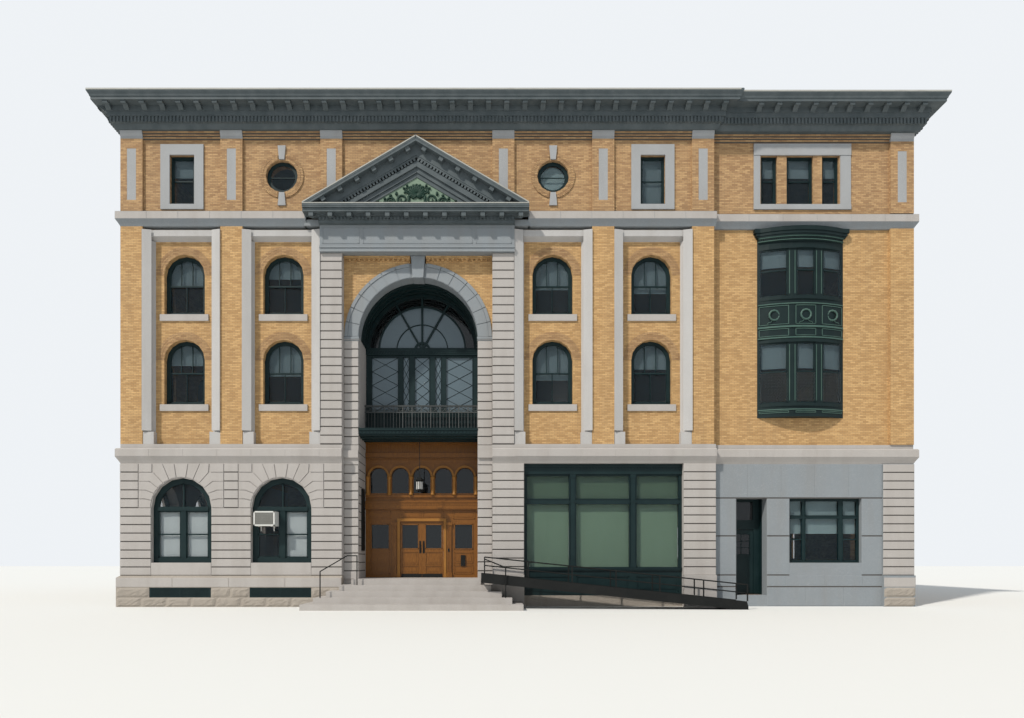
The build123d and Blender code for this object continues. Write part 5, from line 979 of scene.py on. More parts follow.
def build_entry_trim():
    """Columns, arches, dentils, rails and panels of the oak screen, its dark boxes, and a dark ring of
    painted shade inside each arch.
    """
    oak, dark, light = Mesh(), Mesh(), Mesh()
    # The columns and the outer arch rings take the lighter oak, partly a painted highlight
    for number in range(6):
        light.column(COLUMN, ((number - 2.5) * ARCADE_PITCH, 1.925), 12)
    for number in range(5):
        x = (number - 2) * ARCADE_PITCH
        # The innermost dark ring is painted shade in the crevice under each arch
        for mesh, inner, outer, front in ((dark, 0.363, 0.38, 1.94), (light, 0.385, 0.425, 1.92),
                                          (light, 0.43, 0.468, 1.87)):
            mesh.ring(x, ARCADE_SPRING, inner, outer, front, SCREEN_SEAT, 0, 180, 16)
        oak.box(*span(x, 0.045), 1.93, 2.0, ARCADE_SPRING + 0.37, ARCADE_SPRING + 0.53)
        bead_frame(oak, *span(x, 0.4), 6.12, 6.34, 1.985, SCREEN_SEAT)
    dentils(oak, -PORCH, PORCH, *FINE_DENTILS, pitch=0.075, width=0.045)
    for row in WIDE_DENTILS:
        dentils(oak, -PORCH, PORCH, *row, pitch=0.11, width=0.06)
    for rail in SCREEN_RAILS:
        oak.box(-PORCH, PORCH, *rail)
    for x0, x1 in HEAD_PANELS:
        bead_frame(oak, x0, x1, 3.7, 4.05, 1.98, SCREEN_SEAT)
        oak.box(x0 + 0.09, x1 - 0.09, 1.985, SCREEN_SEAT, 3.79, 3.96)
    for low, high in both(1.41, 2.24):
        bead_frame(oak, low, high, 2.37, 3.49, 1.975, SCREEN_SEAT, 0.036)
        for z0, z1 in ((1.3, 1.68), (1.76, 2.24)):
            bead_frame(oak, low, high, z0, z1, 1.98, SCREEN_SEAT)
            oak.box(low + 0.08, high - 0.08, 1.985, SCREEN_SEAT, z0 + 0.08, z1 - 0.08)
    for low, high in both(1.08, 1.32):
        oak.box(low, high, 1.91, 1.95, 1.145, 1.34)
        oak.box(low, high, 1.9, 1.95, 3.42, 3.55)
        for x in (low + 0.06, (low + high) / 2, high - 0.06):
            oak.box(*span(x, 0.016), 1.926, 1.945, 1.4, 3.36)
    for low, high in both(0.953, 1.07):
        light.box(low, high, 1.93, 1.999, 1.145, 3.72)
    light.box(-1.07, 1.07, 1.925, 1.999, 3.6, 3.72)
    for box in DARK_BOXES:
        dark.box(*box)
    # The front edge of the notice case lies along the left jamb, so x runs into the building there
    left_jamb = Matrix(((0, 1, 0, -PORCH), (1, 0, 0, 0), (0, 0, 1, 0), (0, 0, 0, 1)))
    bead_frame(dark, 0.93, 1.52, 2.3, 4.9, 0.0, 0.06, 0.05, left_jamb)
    put(oak, "entry_mouldings", "oak")
    put(light, "entry_columns", "light_oak_and_sheen")
    # The dark boxes, and the painted crevice shade of the arches
    put(dark, "entry_boxes_and_crevice_shade", "iron")


# Side door: the span and heights of its panels, the plane of its beads, and its pull with its bends as (y, z)
SIDE_PANEL = (13.29, 14.0)
SIDE_PANEL_ROWS = ((0.68, 1.22), (1.32, 2.0))
SIDE_BEADS = (1.133, 1.146)
SIDE_PULL = 13.21
SIDE_PULL_BENDS = ((1.145, 1.45), (1.09, 1.45), (1.09, 1.62), (1.145, 1.62))


def build_door_trim():
    """Beads, plates and pulls, each on its own door."""
    for sign, name in ((-1, "main_door_left"), (1, "main_door_right")):
        oak, iron = Mesh(), Mesh()
        low, high = sorted((sign * 0.14, sign * 0.89))
        bead_frame(oak, low, high, 2.39, 3.47, 1.986, SCREEN_SEAT, 0.032)
        for z0, z1 in ((1.32, 1.65), (1.71, 2.26)):
            bead_frame(oak, low + 0.02, high - 0.02, z0, z1, 1.988, SCREEN_SEAT, 0.022)
            oak.box(low + 0.1, high - 0.1, 2.002, 2.014, z0 + 0.08, z1 - 0.08)
        put(oak, name + "_beads", "oak", name)
        x = sign * 0.075
        iron.box(*span(x, 0.04), 1.994, SCREEN_SEAT, 2.2, 2.74)
        iron.tube([(x, 1.999, 2.28), (x, 1.945, 2.3), (x, 1.945, 2.62), (x, 1.999, 2.64)], 0.011)
        iron.box(*sorted((sign * 0.01, sign * 0.9)), 1.993, SCREEN_SEAT, 1.155, 1.3)
        put(iron, name + "_pull", "iron", name)
    green, brass = Mesh(), Mesh()
    x0, x1 = SIDE_PANEL
    for z in (2.43, 2.71):
        green.box(x0, x1, 1.15, 1.164, *span(z, 0.014))
    green.box(13.63, 13.66, 1.15, 1.164, 2.15, 3.0)
    bead_frame(green, x0 - 0.02, x1 + 0.02, 2.13, 3.02, *SIDE_BEADS)
    for z0, z1 in SIDE_PANEL_ROWS:
        bead_frame(green, x0, x1, z0, z1, *SIDE_BEADS)
        green.box(x0 + 0.08, x1 - 0.08, 1.137, 1.146, z0 + 0.08, z1 - 0.08)
    put(green, "side_door_beads", "green", "side_door")
    brass.tube([(SIDE_PULL, y, z) for y, z in SIDE_PULL_BENDS], 0.01)
    put(brass, "side_door_pull", "brass", "side_door")


# Balcony: its railing stands at y 1.75, between end posts 0.036 in from the jambs
RAILING_PLANE = 1.75
RAILING_FOOT, RAILING_HEAD = 7.5, 8.3
RAILING_END = PORCH - 0.036
RAILING_GAPS = 12
CIRCLE_HEIGHT = 8.44
# Mouldings of the balcony's front as (front, back, foot, head)
BALCONY_BANDS = ((0.325, 0.351, 7.225, 7.25), (0.285, 0.301, 7.33, 7.36), (0.33, 0.352, 7.12, 7.14))


def lattice(mesh, x0, x1, z0, z1, y, rows, radius):
    """Crossed diagonal bars in a column of equal cells."""
    for low, high in parts(z0, z1, rows):
        mesh.tube([(x0, y, low), (x1, y, high)], radius, 4)
        mesh.tube([(x0, y, high), (x1, y, low)], radius, 4)


def build_balcony_trim():
    """Circles, curls and low arches of the railing, and the balcony's mouldings."""
    iron, green = Mesh(), Mesh()
    y = RAILING_PLANE
    for left, right in parts(-RAILING_END, RAILING_END, RAILING_GAPS):
        pitch = right - left
        for share in (1 / 3, 2 / 3):
            x = left + pitch * share
            iron.box(*span(x, 0.008), *span(y, 0.008), RAILING_FOOT, RAILING_HEAD)
        for share in (0.25, 0.75):
            x = left + pitch * share
            iron.tube([(px, y, pz) for px, pz in circle(x, CIRCLE_HEIGHT, 0.088, 14)], 0.011, 6, closed=True)
            curl = [(x + (0.015 + 0.008 * k) * math.cos(0.8 * k), y,
                     CIRCLE_HEIGHT + (0.015 + 0.008 * k) * math.sin(0.8 * k)) for k in range(8)]
            iron.tube(curl, 0.008, 5)
        for share in (1 / 6, 0.5, 5 / 6):
            # Low arches at the foot, between the uprights and before them
            x = left + pitch * share
            iron.tube([(x + 0.06 * px, y, RAILING_FOOT + 0.1 * pz) for px, pz in arc(0, 0, 1, 6)], 0.008, 5)
    iron.box(-PORCH, PORCH, 1.7, 1.8, 8.59, 8.605)
    put(iron, "railing_ornament", "railing_iron")
    dentils(green, -PORCH, PORCH, 0.315, 0.351, 7.15, 7.215, pitch=0.15, width=0.085)
    for band in BALCONY_BANDS:
        green.box(-PORCH, PORCH, *band)
    for y in (0.75, 1.2, 1.65):
        green.box(-PORCH, PORCH, *span(y, 0.05), 7.0, 7.056)
    put(green, "balcony_mouldings", "green")


# Glazed screen over the balcony, its lights as (left, right, rows of crossed bars), and the panels below them
LOGGIA_GLASS = (8.36, 10.78)
# Planes a hair behind the faces of the screen and of its transom, where their mouldings are seated
LOGGIA_SEAT, TRANSOM_SEAT = 2.101, 2.041
LOGGIA_LIGHTS = ((-2.2, -1.06, 4), (-0.82, -0.58, 5), (-0.31, 0.31, 5), (0.58, 0.82, 5), (1.06, 2.2, 4))
LOGGIA_PANELS = both(1.0, 2.3) + both(0.5, 0.9) + ((-0.4, 0.4),)
# Rings of the fan light as (inner, outer, front, angle left off at each end, facets)
FAN_RINGS = ((0.26, 0.36, 2.11, 12, 16), (1.86, 1.93, 2.13, 2, 36), (1.1, 1.14, 2.15, 3, 24))
DISC_PLACES = 24


def build_loggia_trim():
    """Bars of the glazed screen, pale panes painted with the sky's reflection in its glass, and the mouldings
    and ribs of the vault before it.
    """
    green, dark, pale = Mesh(), Mesh(), Mesh()
    foot, head = LOGGIA_GLASS
    for x0, x1, rows in LOGGIA_LIGHTS:
        lattice(green, x0, x1, foot, head, 2.145, rows, 0.011)
        # A pale pane behind each light: painted reflection of the sky
        pale.box(x0, x1, 2.152, 2.158, foot, head)
        bead_frame(green, x0 - 0.03, x1 + 0.03, foot - 0.03, head + 0.03, 2.08, LOGGIA_SEAT, 0.03)
    for x0, x1 in LOGGIA_PANELS:
        bead_frame(green, x0, x1, 7.46, 8.28, 2.08, LOGGIA_SEAT, 0.035)
        green.box(x0 + 0.08, x1 - 0.08, 2.088, LOGGIA_SEAT, 7.56, 8.18)
    green.box(-PORCH, PORCH, 2.02, TRANSOM_SEAT, 11.06, 11.117)
    green.box(-PORCH, PORCH, 2.025, TRANSOM_SEAT, 10.885, 10.92)
    dentils(green, -PORCH, PORCH, 2.015, TRANSOM_SEAT, 10.96, 11.03, pitch=0.12, width=0.065)
    for inner, outer, front, left_off, facets in FAN_RINGS:
        green.ring(0, ARCH_CENTRE, inner, outer, front, 2.185, left_off, 180 - left_off, facets)
    # A pale half disc behind the fan light: painted reflection of the sky
    pale.slab(arc(0, ARCH_CENTRE + 0.08, 1.85, 24), 2.184, 2.188)
    for x, z in arc(0, ARCH_CENTRE, 2.37, DISC_PLACES)[1:-1]:
        dark.slab(circle(x, z, 0.055, 10), 2.078, LOGGIA_SEAT, bevel=0.012)
    dark.ring(0, ARCH_CENTRE, 2.28, 2.305, 2.075, LOGGIA_SEAT, 1, 179, 48)
    dark.ring(0, ARCH_CENTRE, 2.435, 2.458, 2.07, LOGGIA_SEAT, 0, 180, 48)
    for y in (0.98, 1.42, 1.86):
        dark.ring(0, ARCH_CENTRE, 2.4, 2.459, y, y + 0.09, 0, 180, 48)
    put(green, "loggia_bars", "green")
    put(pale, "loggia_sky_reflection", "painted_sky_reflection")
    put(dark, "arch_band", "oriel_green")


# Pediment: the foot and top of its outer edge, half its length, and how far down its inner mouldings lie
PEDIMENT_FOOT, PEDIMENT_APEX = 16.156, 18.85
PEDIMENT_RISE, PEDIMENT_HALF = 2.66, 4.53
SLOPE = math.atan2(PEDIMENT_RISE, PEDIMENT_HALF)
# Sloping bands as (near and far distance under the top edge, front)
CHEVRONS = ((0.555, 0.62, -0.4), (0.74, 0.93, -0.37), (0.93, 1.1, -0.29), (1.1, 1.25, -0.24))
# Scrolls of the field as (x, z, radius, start angle, turns, thickness)
SCROLLS = ((0.58, 16.5, 0.27, 150, 1.7, 0.06), (1.08, 16.4, 0.2, 200, -1.6, 0.05),
           (1.46, 16.32, 0.13, 150, 1.5, 0.036), (1.74, 16.25, 0.08, 200, -1.4, 0.026),
           (0.36, 16.9, 0.13, 250, 1.5, 0.036))
SCROLL_PLANE = -0.225
FRIEZE_PANELS = ((-2.2, 2.25), (-3.85, -2.35), (2.4, 3.85))


def spiral(mesh, cx, cz, radius, start, turns, thick, flip):
    """A scroll that winds in to its eye, thinner towards the eye."""
    count = int(16 * abs(turns))
    points = []
    for share in steps(0, 1, count):
        angle = math.radians(start) + math.tau * turns * share
        reach = radius * (1 - 0.82 * share)
        points.append((flip * (cx + reach * math.cos(angle)), SCROLL_PLANE, cz + reach * math.sin(angle)))
    mesh.tube(points, lambda number: thick * (1 - 0.5 * number / count), 6)


def leaf(mesh, x, z, angle, length, flip):
    """A pointed leaf lying on the field, curved to one side."""
    points = []
    for share in steps(0, 1, 5):
        bend = math.radians(angle + 50 * share)
        points.append((flip * (x + length * share * math.cos(bend)), SCROLL_PLANE,
                       z + length * share * math.sin(bend)))
    mesh.tube(points, lambda number: 0.012 + 0.05 * math.sin(math.pi * (number + 0.6) / 6.2), 6)


def pediment_line(depth):
    """Where a line at a depth under the top edge meets the foot, and its height in the middle."""
    head = PEDIMENT_APEX - depth / math.cos(SLOPE)
    return (head - PEDIMENT_FOOT) / math.tan(SLOPE), head


def build_tympanum_trim():
    """Scrolls, leaves and a stem on the pale field of the pediment."""
    scrolls, field = Mesh(), Mesh()
    reach, head = pediment_line(CHEVRONS[-1][1])
    field.slab([(-reach, PEDIMENT_FOOT), (reach, PEDIMENT_FOOT), (0, head)], -0.208, -0.199)
    put(field, "tympanum_field", "pale_field")
    for flip in (-1, 1):
        for cx, cz, radius, start, turns, thick in SCROLLS:
            spiral(scrolls, cx, cz, radius, start, turns, thick, flip)
            for number in range(5):
                angle = start + 62 * number
                turn = math.radians(angle)
                x, z = cx + radius * math.cos(turn), cz + radius * math.sin(turn)
                leaf(scrolls, x, z, angle, radius * 0.55, flip)
        stem = [(flip * 0.1 * k, SCROLL_PLANE, 16.22 + 0.04 * math.sin(0.5 * k)) for k in range(19)]
        scrolls.tube(stem, lambda number: 0.05 - 0.0016 * number, 6)
        for number in range(9):
            leaf(scrolls, 0.02, 16.75, 92 - 24 * number, 0.42 - 0.02 * number, flip)
    put(scrolls, "tympanum_scrolls", "scroll_green")


def build_pediment_trim():
    """Mouldings, dentils and flashing of the pediment, lines of the frieze and corbels over the arch."""
    metal, stone, brick, white = Mesh(), Mesh(), Mesh(), Mesh()
    for near, far, front in CHEVRONS:
        (outer, top), (inner, low) = pediment_line(near), pediment_line(far)
        metal.block([(-outer, PEDIMENT_FOOT), (-inner, PEDIMENT_FOOT), (0, low), (0, top)], front, -0.195)
        metal.block([(0, top), (0, low), (inner, PEDIMENT_FOOT), (outer, PEDIMENT_FOOT)], front, -0.195)
    dentils(metal, -3.96, 3.96, -0.375, -0.319, 15.64, 15.75, pitch=0.142)
    rake = Matrix.Translation((-PEDIMENT_HALF, 0, 16.19)) @ Matrix.Rotation(-SLOPE, 4, "Y")
    length = math.hypot(PEDIMENT_RISE, PEDIMENT_HALF)
    for place in (rake, Matrix.Scale(-1, 4, (1, 0, 0)) @ rake):
        dentils(metal, 0.9, length - 0.42, -0.4, -0.3, -0.73, -0.62, place, pitch=0.142)
        metal.box(0.1, length - 0.02, -0.7, -0.689, -0.11, -0.07, place)
        white.box(0.0, length, -0.7, -0.68, -0.045, -0.003, place)
    metal.box(-PEDIMENT_HALF, PEDIMENT_HALF, -0.702, -0.689, 16.03, 16.07)
    metal.box(-PEDIMENT_HALF, PEDIMENT_HALF, -0.645, -0.629, 15.9, 15.94)
    white.box(-PEDIMENT_HALF, PEDIMENT_HALF, -0.7, -0.68, 16.12, 16.156)
    put(white, "pediment_flashing", "flashing")
    put(metal, "pediment_dentils", "cornice")
    for x0, x1 in FRIEZE_PANELS:
        bead_frame(stone, x0, x1, 14.78, 15.42, -0.112, -0.099, 0.025)
    stone.box(-3.963, 3.963, -0.185, -0.149, 14.59, 14.66)
    for low, high in both(3.96, 4.6):
        stone.box(low, high, -0.06, 0.28, UPPER_TOP, UPPER_TOP + 0.245)
    # The frieze lines take the granite colour with its painted shade
    put(stone, "frieze_lines", "shade_grey_granite")
    for low, high in both(0.33, 3.06):
        brick.box(low, high, 0.24, 0.362, 14.33, 14.437)
    for low, high in both(0.42, 2.82):
        for x in steps(low, high, 12):
            brick.box(*span(x, 0.05), 0.27, 0.362, 14.25, 14.33)
    put(brick, "spandrel_corbels", "brick")


ARCH_STONES = 7
KEYSTONE_HALF = 0.28


def build_arch_trim():
    """Two raised bands on each stone of the great arch, and a moulded cap on the impost."""
    stone = Mesh()
    sweep = 90 - math.degrees(math.asin(KEYSTONE_HALF / PORCH))
    for start, end in parts(0, sweep, ARCH_STONES, 0.35):
        for first, last in ((start, end), (180 - end, 180 - start)):
            stone.ring(0, ARCH_CENTRE, 2.91, 3.045, 0.305, 0.352, first, last, 8)
            stone.ring(0, ARCH_CENTRE, 2.48, 2.9, 0.33, 0.352, first, last, 8)
    for low, high in both(2.44, 3.06):
        stone.box(low, high, 0.285, 0.36, 11.03, 11.115)
        stone.box(low, high, 0.305, 0.36, 10.97, 11.0)
    # The arch bands take the granite colour with its painted shade
    put(stone, "arch_bands", "shade_grey_granite")


# Stepped courses under the cornice as (foot, head, how far each stands out); a dark strip along the foot of
# each is painted shadow
CORBELS = ((19.11, 19.22, 0.035), (19.22, 19.31, 0.065), (19.31, ATTIC_TOP, 0.096))


def build_attic_corbels():
    """Stepped brick courses under the cornice, between the caps of the attic pilasters."""
    brick = Mesh()
    for foot, head, out in CORBELS:
        for x0, x1, face in ((LEFT + 0.1, -LEFT, 0.1), (-LEFT, SIDE_RIGHT, 0.31)):
            brick.box(x0, x1, face - out, face + 0.001, foot, head)
            # A dark strip along the foot of the course: painted shadow
            JOINT_SHADE.box(x0, x1, face - 0.004 - out, face + 0.001, foot - 0.004, foot + 0.024)
        brick.box(0.0, DEPTH - 0.1, 0.1 - out, 0.101, foot, head, LEFT_SIDE)
    put(brick, "attic_corbels", "attic_brick")


# Oriel of the side bay: a bow of flat facets, two storeys of three lights, and mullions between them
ORIEL_LEFT, ORIEL_RIGHT = (corner.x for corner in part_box("oriel"))
ORIEL_BACK = 0.34
ORIEL_BOW = 0.35
ORIEL_FACETS = 8
ORIEL_LIGHTS = ((14.1, 15.14), (15.48, 16.24), (16.58, 17.45))
ORIEL_MULLIONS = ((15.14, 15.48), (16.24, 16.58))
# Foot, head and meeting rail of the sashes of each storey
ORIEL_SASHES = ((8.33, 10.82, 9.62), (12.7, 14.65, 13.77))
ORIEL_PANELS = ((11.55, 12.33), (7.93, 8.02), (11.08, 11.38))
# Bands as (foot, head, how far each stands out), and the crown's with how far past the ends they flare
PALE_BANDS = ((10.98, 11.03, 0.055), (11.42, 11.49, 0.045), (12.38, 12.42, 0.03), (8.05, 8.09, 0.03),
              (15.1, 15.14, 0.115), (14.98, 15.01, 0.085))
CROWN_BANDS = ((15.32, 15.488, 0.19, 0.16), (15.2, 15.32, 0.16, 0.1), (15.14, 15.2, 0.135, 0.05))
GUARD_FOOT, GUARD_HEAD = 8.39, 9.58
ORIEL_TEETH = 44


def find_oriel_corners():
    """Where the flat facets of the bow meet, as (x, y)."""
    half = (ORIEL_RIGHT - ORIEL_LEFT) / 2
    middle = (ORIEL_LEFT + ORIEL_RIGHT) / 2
    radius = (half * half + ORIEL_BOW * ORIEL_BOW) / (2 * ORIEL_BOW)
    sweep = math.asin(half / radius)
    return [(middle + radius * math.sin(angle), ORIEL_BACK - ORIEL_BOW + radius * (1 - math.cos(angle)))
            for angle in steps(-sweep, sweep, ORIEL_FACETS)]


ORIEL_CORNERS = find_oriel_corners()


def oriel_face(x):
    """How far forward the bow stands at a place along it."""
    for (left, y_left), (right, y_right) in zip(ORIEL_CORNERS, ORIEL_CORNERS[1:]):
        if x <= right + 1e-6:
            return y_left + (y_right - y_left) * (x - left) / (right - left)
    return ORIEL_CORNERS[-1][1]


def oriel_band(mesh, x0, x1, z0, z1, out, back=0.01):
    """A strip that follows the bow, standing out from it."""
    cuts = [x0] + [x for x, y in ORIEL_CORNERS if x0 + 0.001 < x < x1 - 0.001] + [x1]
    for left, right in zip(cuts, cuts[1:]):
        a, b = oriel_face(left), oriel_face(right)
        plan = ((left, a - out), (right, b - out), (right, b + back), (left, a + back))
        faces = [(0, 1, 2, 3), (4, 5, 6, 7), (0, 1, 5, 4), (1, 2, 6, 5), (2, 3, 7, 6), (3, 0, 4, 7)]
        mesh.add([(x, y, z) for z in (z0, z1) for x, y in plan], faces)


def oriel_frame(mesh, x0, x1, z0, z1, width, out, back):
    """Four strips round a rectangle on the bow."""
    for low, high in ((z0, z0 + width), (z1 - width, z1)):
        oriel_band(mesh, x0, x1, low, high, out, back)
    for left, right in ((x0, x0 + width), (x1 - width, x1)):
        oriel_band(mesh, left, right, z0, z1, out, back)


def build_oriel_trim():
    """Pale mouldings, wreaths, sashes, shades, window guards and the flared crown of the oriel."""
    pale, green, shades, guard, teeth = Mesh(), Mesh(), Mesh(), Mesh(), Mesh()
    edge_left, edge_right = ORIEL_LEFT + 0.02, ORIEL_RIGHT - 0.02
    for band in PALE_BANDS:
        oriel_band(pale, edge_left, edge_right, *band)
    for x0, x1 in ORIEL_LIGHTS:
        for z0, z1 in ORIEL_PANELS:
            oriel_frame(pale, x0 - 0.04, x1 + 0.04, z0, z1, 0.025, 0.02, 0.01)
        middle = (x0 + x1) / 2
        y = oriel_face(middle) - 0.015
        wreath = [(x, y, z) for x, z in circle(middle, 11.94, 0.2, 20)]
        pale.tube(wreath, lambda number: 0.034 + 0.01 * (number % 2), 6, closed=True)
        for sign in (-1, 1):
            ribbon = [(middle + sign * (0.03 + 0.05 * k), y, 11.74 - 0.03 * k + 0.02 * math.sin(2.0 * k))
                      for k in range(6)]
            pale.tube(ribbon, 0.014, 5)
        for foot, head, rail in ORIEL_SASHES:
            for z0, z1 in ((foot, foot + 0.06), (rail - 0.035, rail + 0.035), (head - 0.06, head)):
                oriel_band(green, x0, x1, z0, z1, -0.012, 0.048)
            for left, right in ((x0, x0 + 0.05), (x1 - 0.05, x1)):
                oriel_band(green, left, right, foot, head, -0.012, 0.048)
            oriel_band(shades, x0, x1, rail + 0.15, head, -0.125, 0.13)
        for a, b in parts(x0, x1, round((x1 - x0) / 0.11)):
            lattice(guard, a, b, GUARD_FOOT, GUARD_HEAD, oriel_face((a + b) / 2) + 0.004, 9, 0.006)
    for left, right in ORIEL_MULLIONS:
        for foot, head, rail in ORIEL_SASHES:
            oriel_band(pale, left + 0.05, left + 0.075, foot + 0.1, head - 0.1, 0.015)
            oriel_band(pale, right - 0.075, right - 0.05, foot + 0.1, head - 0.1, 0.015)
            oriel_band(green, left + 0.03, right - 0.03, head - 0.02, head + 0.06, 0.04)
            oriel_band(green, left + 0.03, right - 0.03, foot - 0.04, foot + 0.06, 0.04)
    for z0, z1, out, past in CROWN_BANDS:
        oriel_band(green, edge_left, edge_right, z0, z1, out)
        for x in (ORIEL_LEFT, ORIEL_RIGHT):
            green.box(*span(x, past), ORIEL_BACK - out - 0.02, ORIEL_BACK + 0.02, z0, z1)
    for start, end in parts(ORIEL_LEFT + 0.04, ORIEL_RIGHT - 0.04, ORIEL_TEETH):
        x = (start + end) / 2
        oriel_band(teeth, *span(x, 0.022), 15.02, 15.09, 0.1)
    put(guard, "oriel_guards", "railing_iron")
    put(pale, "oriel_mouldings", "pale_green")
    put(green, "oriel_sashes", "oriel_green")
    put(shades, "oriel_shades", "shade")
    put(teeth, "oriel_dentils", "oriel_green")


# Shop front: its three lights, the posts between them, its whole width and the plane of its face
SHOP_LIGHTS = ((4.49, 6.23), (6.515, 8.715), (9.0, 10.74))
SHOP_POSTS = (6.3725, 8.8575)
SHOP_SPAN = (4.365, 10.865)
SHOP_FACE = 0.25
# Glass of the big panes and of the transom lights, and the caps and bases of the posts
SHOP_GLASS = ((1.59, 4.24), (4.4, 5.41))
POST_BLOCKS = ((5.3, 5.43), (1.6, 1.78), (4.27, 4.37))
# Mouldings over the whole width as (front, back, foot, head), from the face
SHOP_BANDS = ((-0.07, -0.039, 5.74, GROUND_TOP - 0.001), (-0.06, -0.039, 5.44, 5.49),
              (-0.075, -0.059, 1.54, 1.589))
# Side window: spans and heights of its lights
SIDE_LIGHTS = ((15.4, 15.91), (16.04, 17.42), (17.59, 18.17))
SIDE_LIGHT_ROWS = ((1.88, 3.64), (3.73, 4.37))


def build_shop_trim():
    """Mouldings and blinds of the shop front."""
    green, shades, deep = Mesh(), Mesh(), Mesh()
    face = SHOP_FACE
    for x0, x1 in SHOP_LIGHTS:
        for z0, z1 in SHOP_GLASS:
            bead_frame(green, x0 - 0.03, x1 + 0.03, z0, z1, face - 0.02, face + 0.001, 0.035)
        bead_frame(green, x0, x1, 0.6, 1.25, face + 0.005, face + 0.031, 0.04)
        green.box(x0 + 0.12, x1 - 0.12, face + 0.012, face + 0.031, 0.72, 1.13)
        shades.box(x0, x1, face + 0.17, face + 0.176, 4.43, 5.38)
        deep.box(x0, x1, face + 0.19, face + 0.196, 1.62, 4.21)
    for x in SHOP_POSTS:
        green.box(*span(x, 0.09), face - 0.045, face + 0.001, 1.62, 5.38)
        for z0, z1 in POST_BLOCKS:
            green.box(*span(x, 0.12), face - 0.06, face + 0.001, z0, z1)
    for front, back, foot, head in SHOP_BANDS:
        green.box(*SHOP_SPAN, face + front, face + back, foot, head)
    dentils(green, *SHOP_SPAN, face - 0.065, face - 0.039, 5.66, 5.72, pitch=0.13, width=0.07)
    put(green, "shop_mouldings", "green")
    put(shades, "shop_transom_shades", "dim_green_shade")
    put(deep, "shop_blinds", "green_shade")


def build_side_window_trim():
    """Sash mouldings and blinds of the side window."""
    window, blinds = Mesh(), Mesh()
    for x0, x1 in SIDE_LIGHTS:
        for z0, z1 in SIDE_LIGHT_ROWS:
            bead_frame(window, x0 - 0.02, x1 + 0.02, z0, z1, 0.435, 0.451, 0.03)
        if x1 - x0 < 1:
            window.box(x0, x1, 0.47, 0.508, 2.73, 2.79)
        blinds.box(x0, x1, 0.6, 0.606, 3.0, 4.354)
    put(window, "side_window_bars", "green")
    put(blinds, "side_window_blinds", "blue_shade")


LOUVRES = 16
VENT_SLATS = 8


def build_cooler_trim():
    """Louvres, a white rim and brackets on the air conditioner."""
    white, dark, grille = Mesh(), Mesh(), Mesh()
    low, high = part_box("air_conditioner")
    x0, x1, front = low.x + 0.05, high.x - 0.05, low.y
    dark.box(x0, x1, front - 0.004, front + 0.002, low.z + 0.06, high.z - 0.06)
    for number in range(LOUVRES):
        z = low.z + 0.07 + 0.029 * number
        grille.box(x0, x1, front - 0.014, front, z, z + 0.012)
    for x in (low.x + 0.16, high.x - 0.16):
        white.box(*span(x, 0.02), front + 0.1, front + 0.5, low.z - 0.03, low.z)
        white.box(*span(x, 0.015), front + 0.44, front + 0.47, low.z - 0.2, low.z)
    bead_frame(white, low.x, high.x, low.z, high.z, front - 0.018, front + 0.002, 0.05)
    put(dark, "cooler_back", "iron")
    put(white, "cooler_frame", "enamel")
    put(grille, "cooler_louvres", "flashing")


def build_vents_and_lantern():
    """Slats of the plinth's vents, and the pale panes of the six-sided lantern."""
    slats, lamp = Mesh(), Mesh()
    for centre, place in GROUND_PLACES:
        bead_frame(slats, *span(centre, 1.25), 0.387, 0.788, -0.116, -0.094, 0.035, place)
        for number in range(VENT_SLATS):
            z = 0.43 + 0.042 * number
            slats.box(*span(centre, 1.22), -0.11, -0.094, z, z + 0.02, place)
        for x in (centre - 1.2, centre, centre + 1.2):
            slats.box(*span(x, 0.015), -0.113, -0.094, 0.4, 0.78, place)
    put(slats, "vent_slats", "green")
    for degrees in range(30, 390, 60):
        lamp.box(-0.055, 0.055, -0.137, -0.131, 4.89, 5.2, turned(0, 0.95, degrees))
    put(lamp, "lantern_panes", "enamel")


BELT_STONE = 1.35
BELT_STONE_HEIGHT = 0.29
LOWER_BELT_FOOT = GROUND_TOP + 0.27
UPPER_BELT_FOOT = UPPER_TOP + 0.25


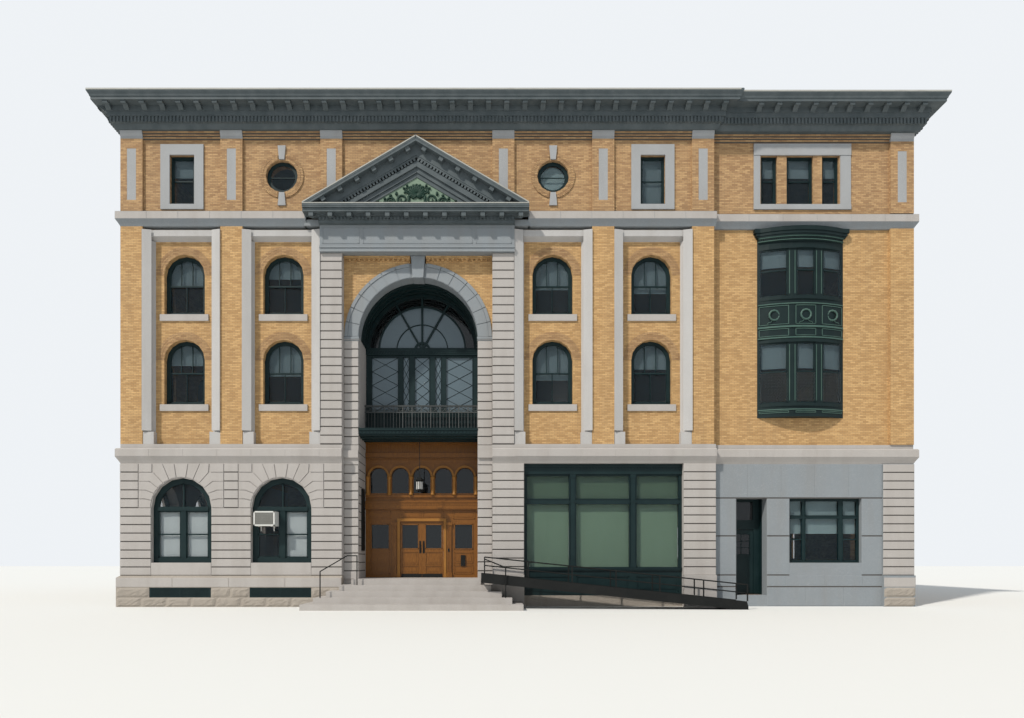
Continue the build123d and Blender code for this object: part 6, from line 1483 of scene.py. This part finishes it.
def build_belt_stones():
    """Lintels of the plain windows, and the two granite belts' stones with fine joints between them."""
    lintels, stone = Mesh(), Mesh()
    for centre, place in PLAIN_PLACES:
        for foot, head in PLAIN_ROWS:
            lintels.stone(*span(centre, 0.78), -0.02, 0.001, head, head + 0.26, 0.01, place)
    put(lintels, "plain_lintels", "granite")
    for foot, middle in ((LOWER_BELT_FOOT, CENTRE_OUTER), (UPPER_BELT_FOOT, 4.56)):
        for x0, x1, face, place in ((LEFT - 0.15, -middle, 0.0, FRONT), (middle, -LEFT + 0.07, 0.0, FRONT),
                                    (-LEFT + 0.07, SIDE_RIGHT + 0.15, 0.25, FRONT),
                                    (0.0, DEPTH, 0.0, LEFT_SIDE)):
            for a, b in parts(x0, x1, round((x1 - x0) / BELT_STONE), 0.005):
                stone.stone(a, b, face - 0.158, face - 0.148, foot, foot + BELT_STONE_HEIGHT, 0.006, place)
    put(stone, "belt_stones", "granite")


PANEL_SLOPE = 0.085
PANEL_WIDTH = 0.36


def build_panel_mouldings():
    """Sloped faces on the granite frames of the upper bays, falling towards the window panels."""
    stone = Mesh()
    low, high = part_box("panel_frames")
    front, foot, head = low.y, low.z + 0.55, high.z - 0.02
    for centre, place in UPPER_PLACES:
        for sign in (-1, 1):
            outer = centre + sign * PANEL / 2
            inner = outer - sign * PANEL_WIDTH
            points = [(outer, front - PANEL_SLOPE, foot), (outer, front - PANEL_SLOPE, head),
                      (inner, front - 0.004, head), (inner, front - 0.004, foot), (outer, front, foot),
                      (outer, front, head)]
            stone.add(points, [(0, 1, 2, 3), (0, 3, 4), (1, 5, 2), (4, 5, 1, 0), (4, 3, 2, 5)], place)
    put(stone, "panel_mouldings", "pale_granite")


build_stage()
dress_nodes()
for build in (build_rusticated_granite, build_rock_faces, build_upper_windows, build_ground_windows,
              build_attic_windows, build_plain_windows, build_cornice_trim, build_entry_trim,
              build_door_trim, build_balcony_trim, build_loggia_trim, build_tympanum_trim,
              build_pediment_trim, build_arch_trim, build_attic_corbels, build_oriel_trim,
              build_shop_trim, build_side_window_trim, build_cooler_trim, build_vents_and_lantern,
              build_belt_stones, build_panel_mouldings):
    build()
# All the dark strips of painted shade in the stone joints and under the corbels, as one piece
put(JOINT_SHADE, "stone_joint_shade", "joint_colour")
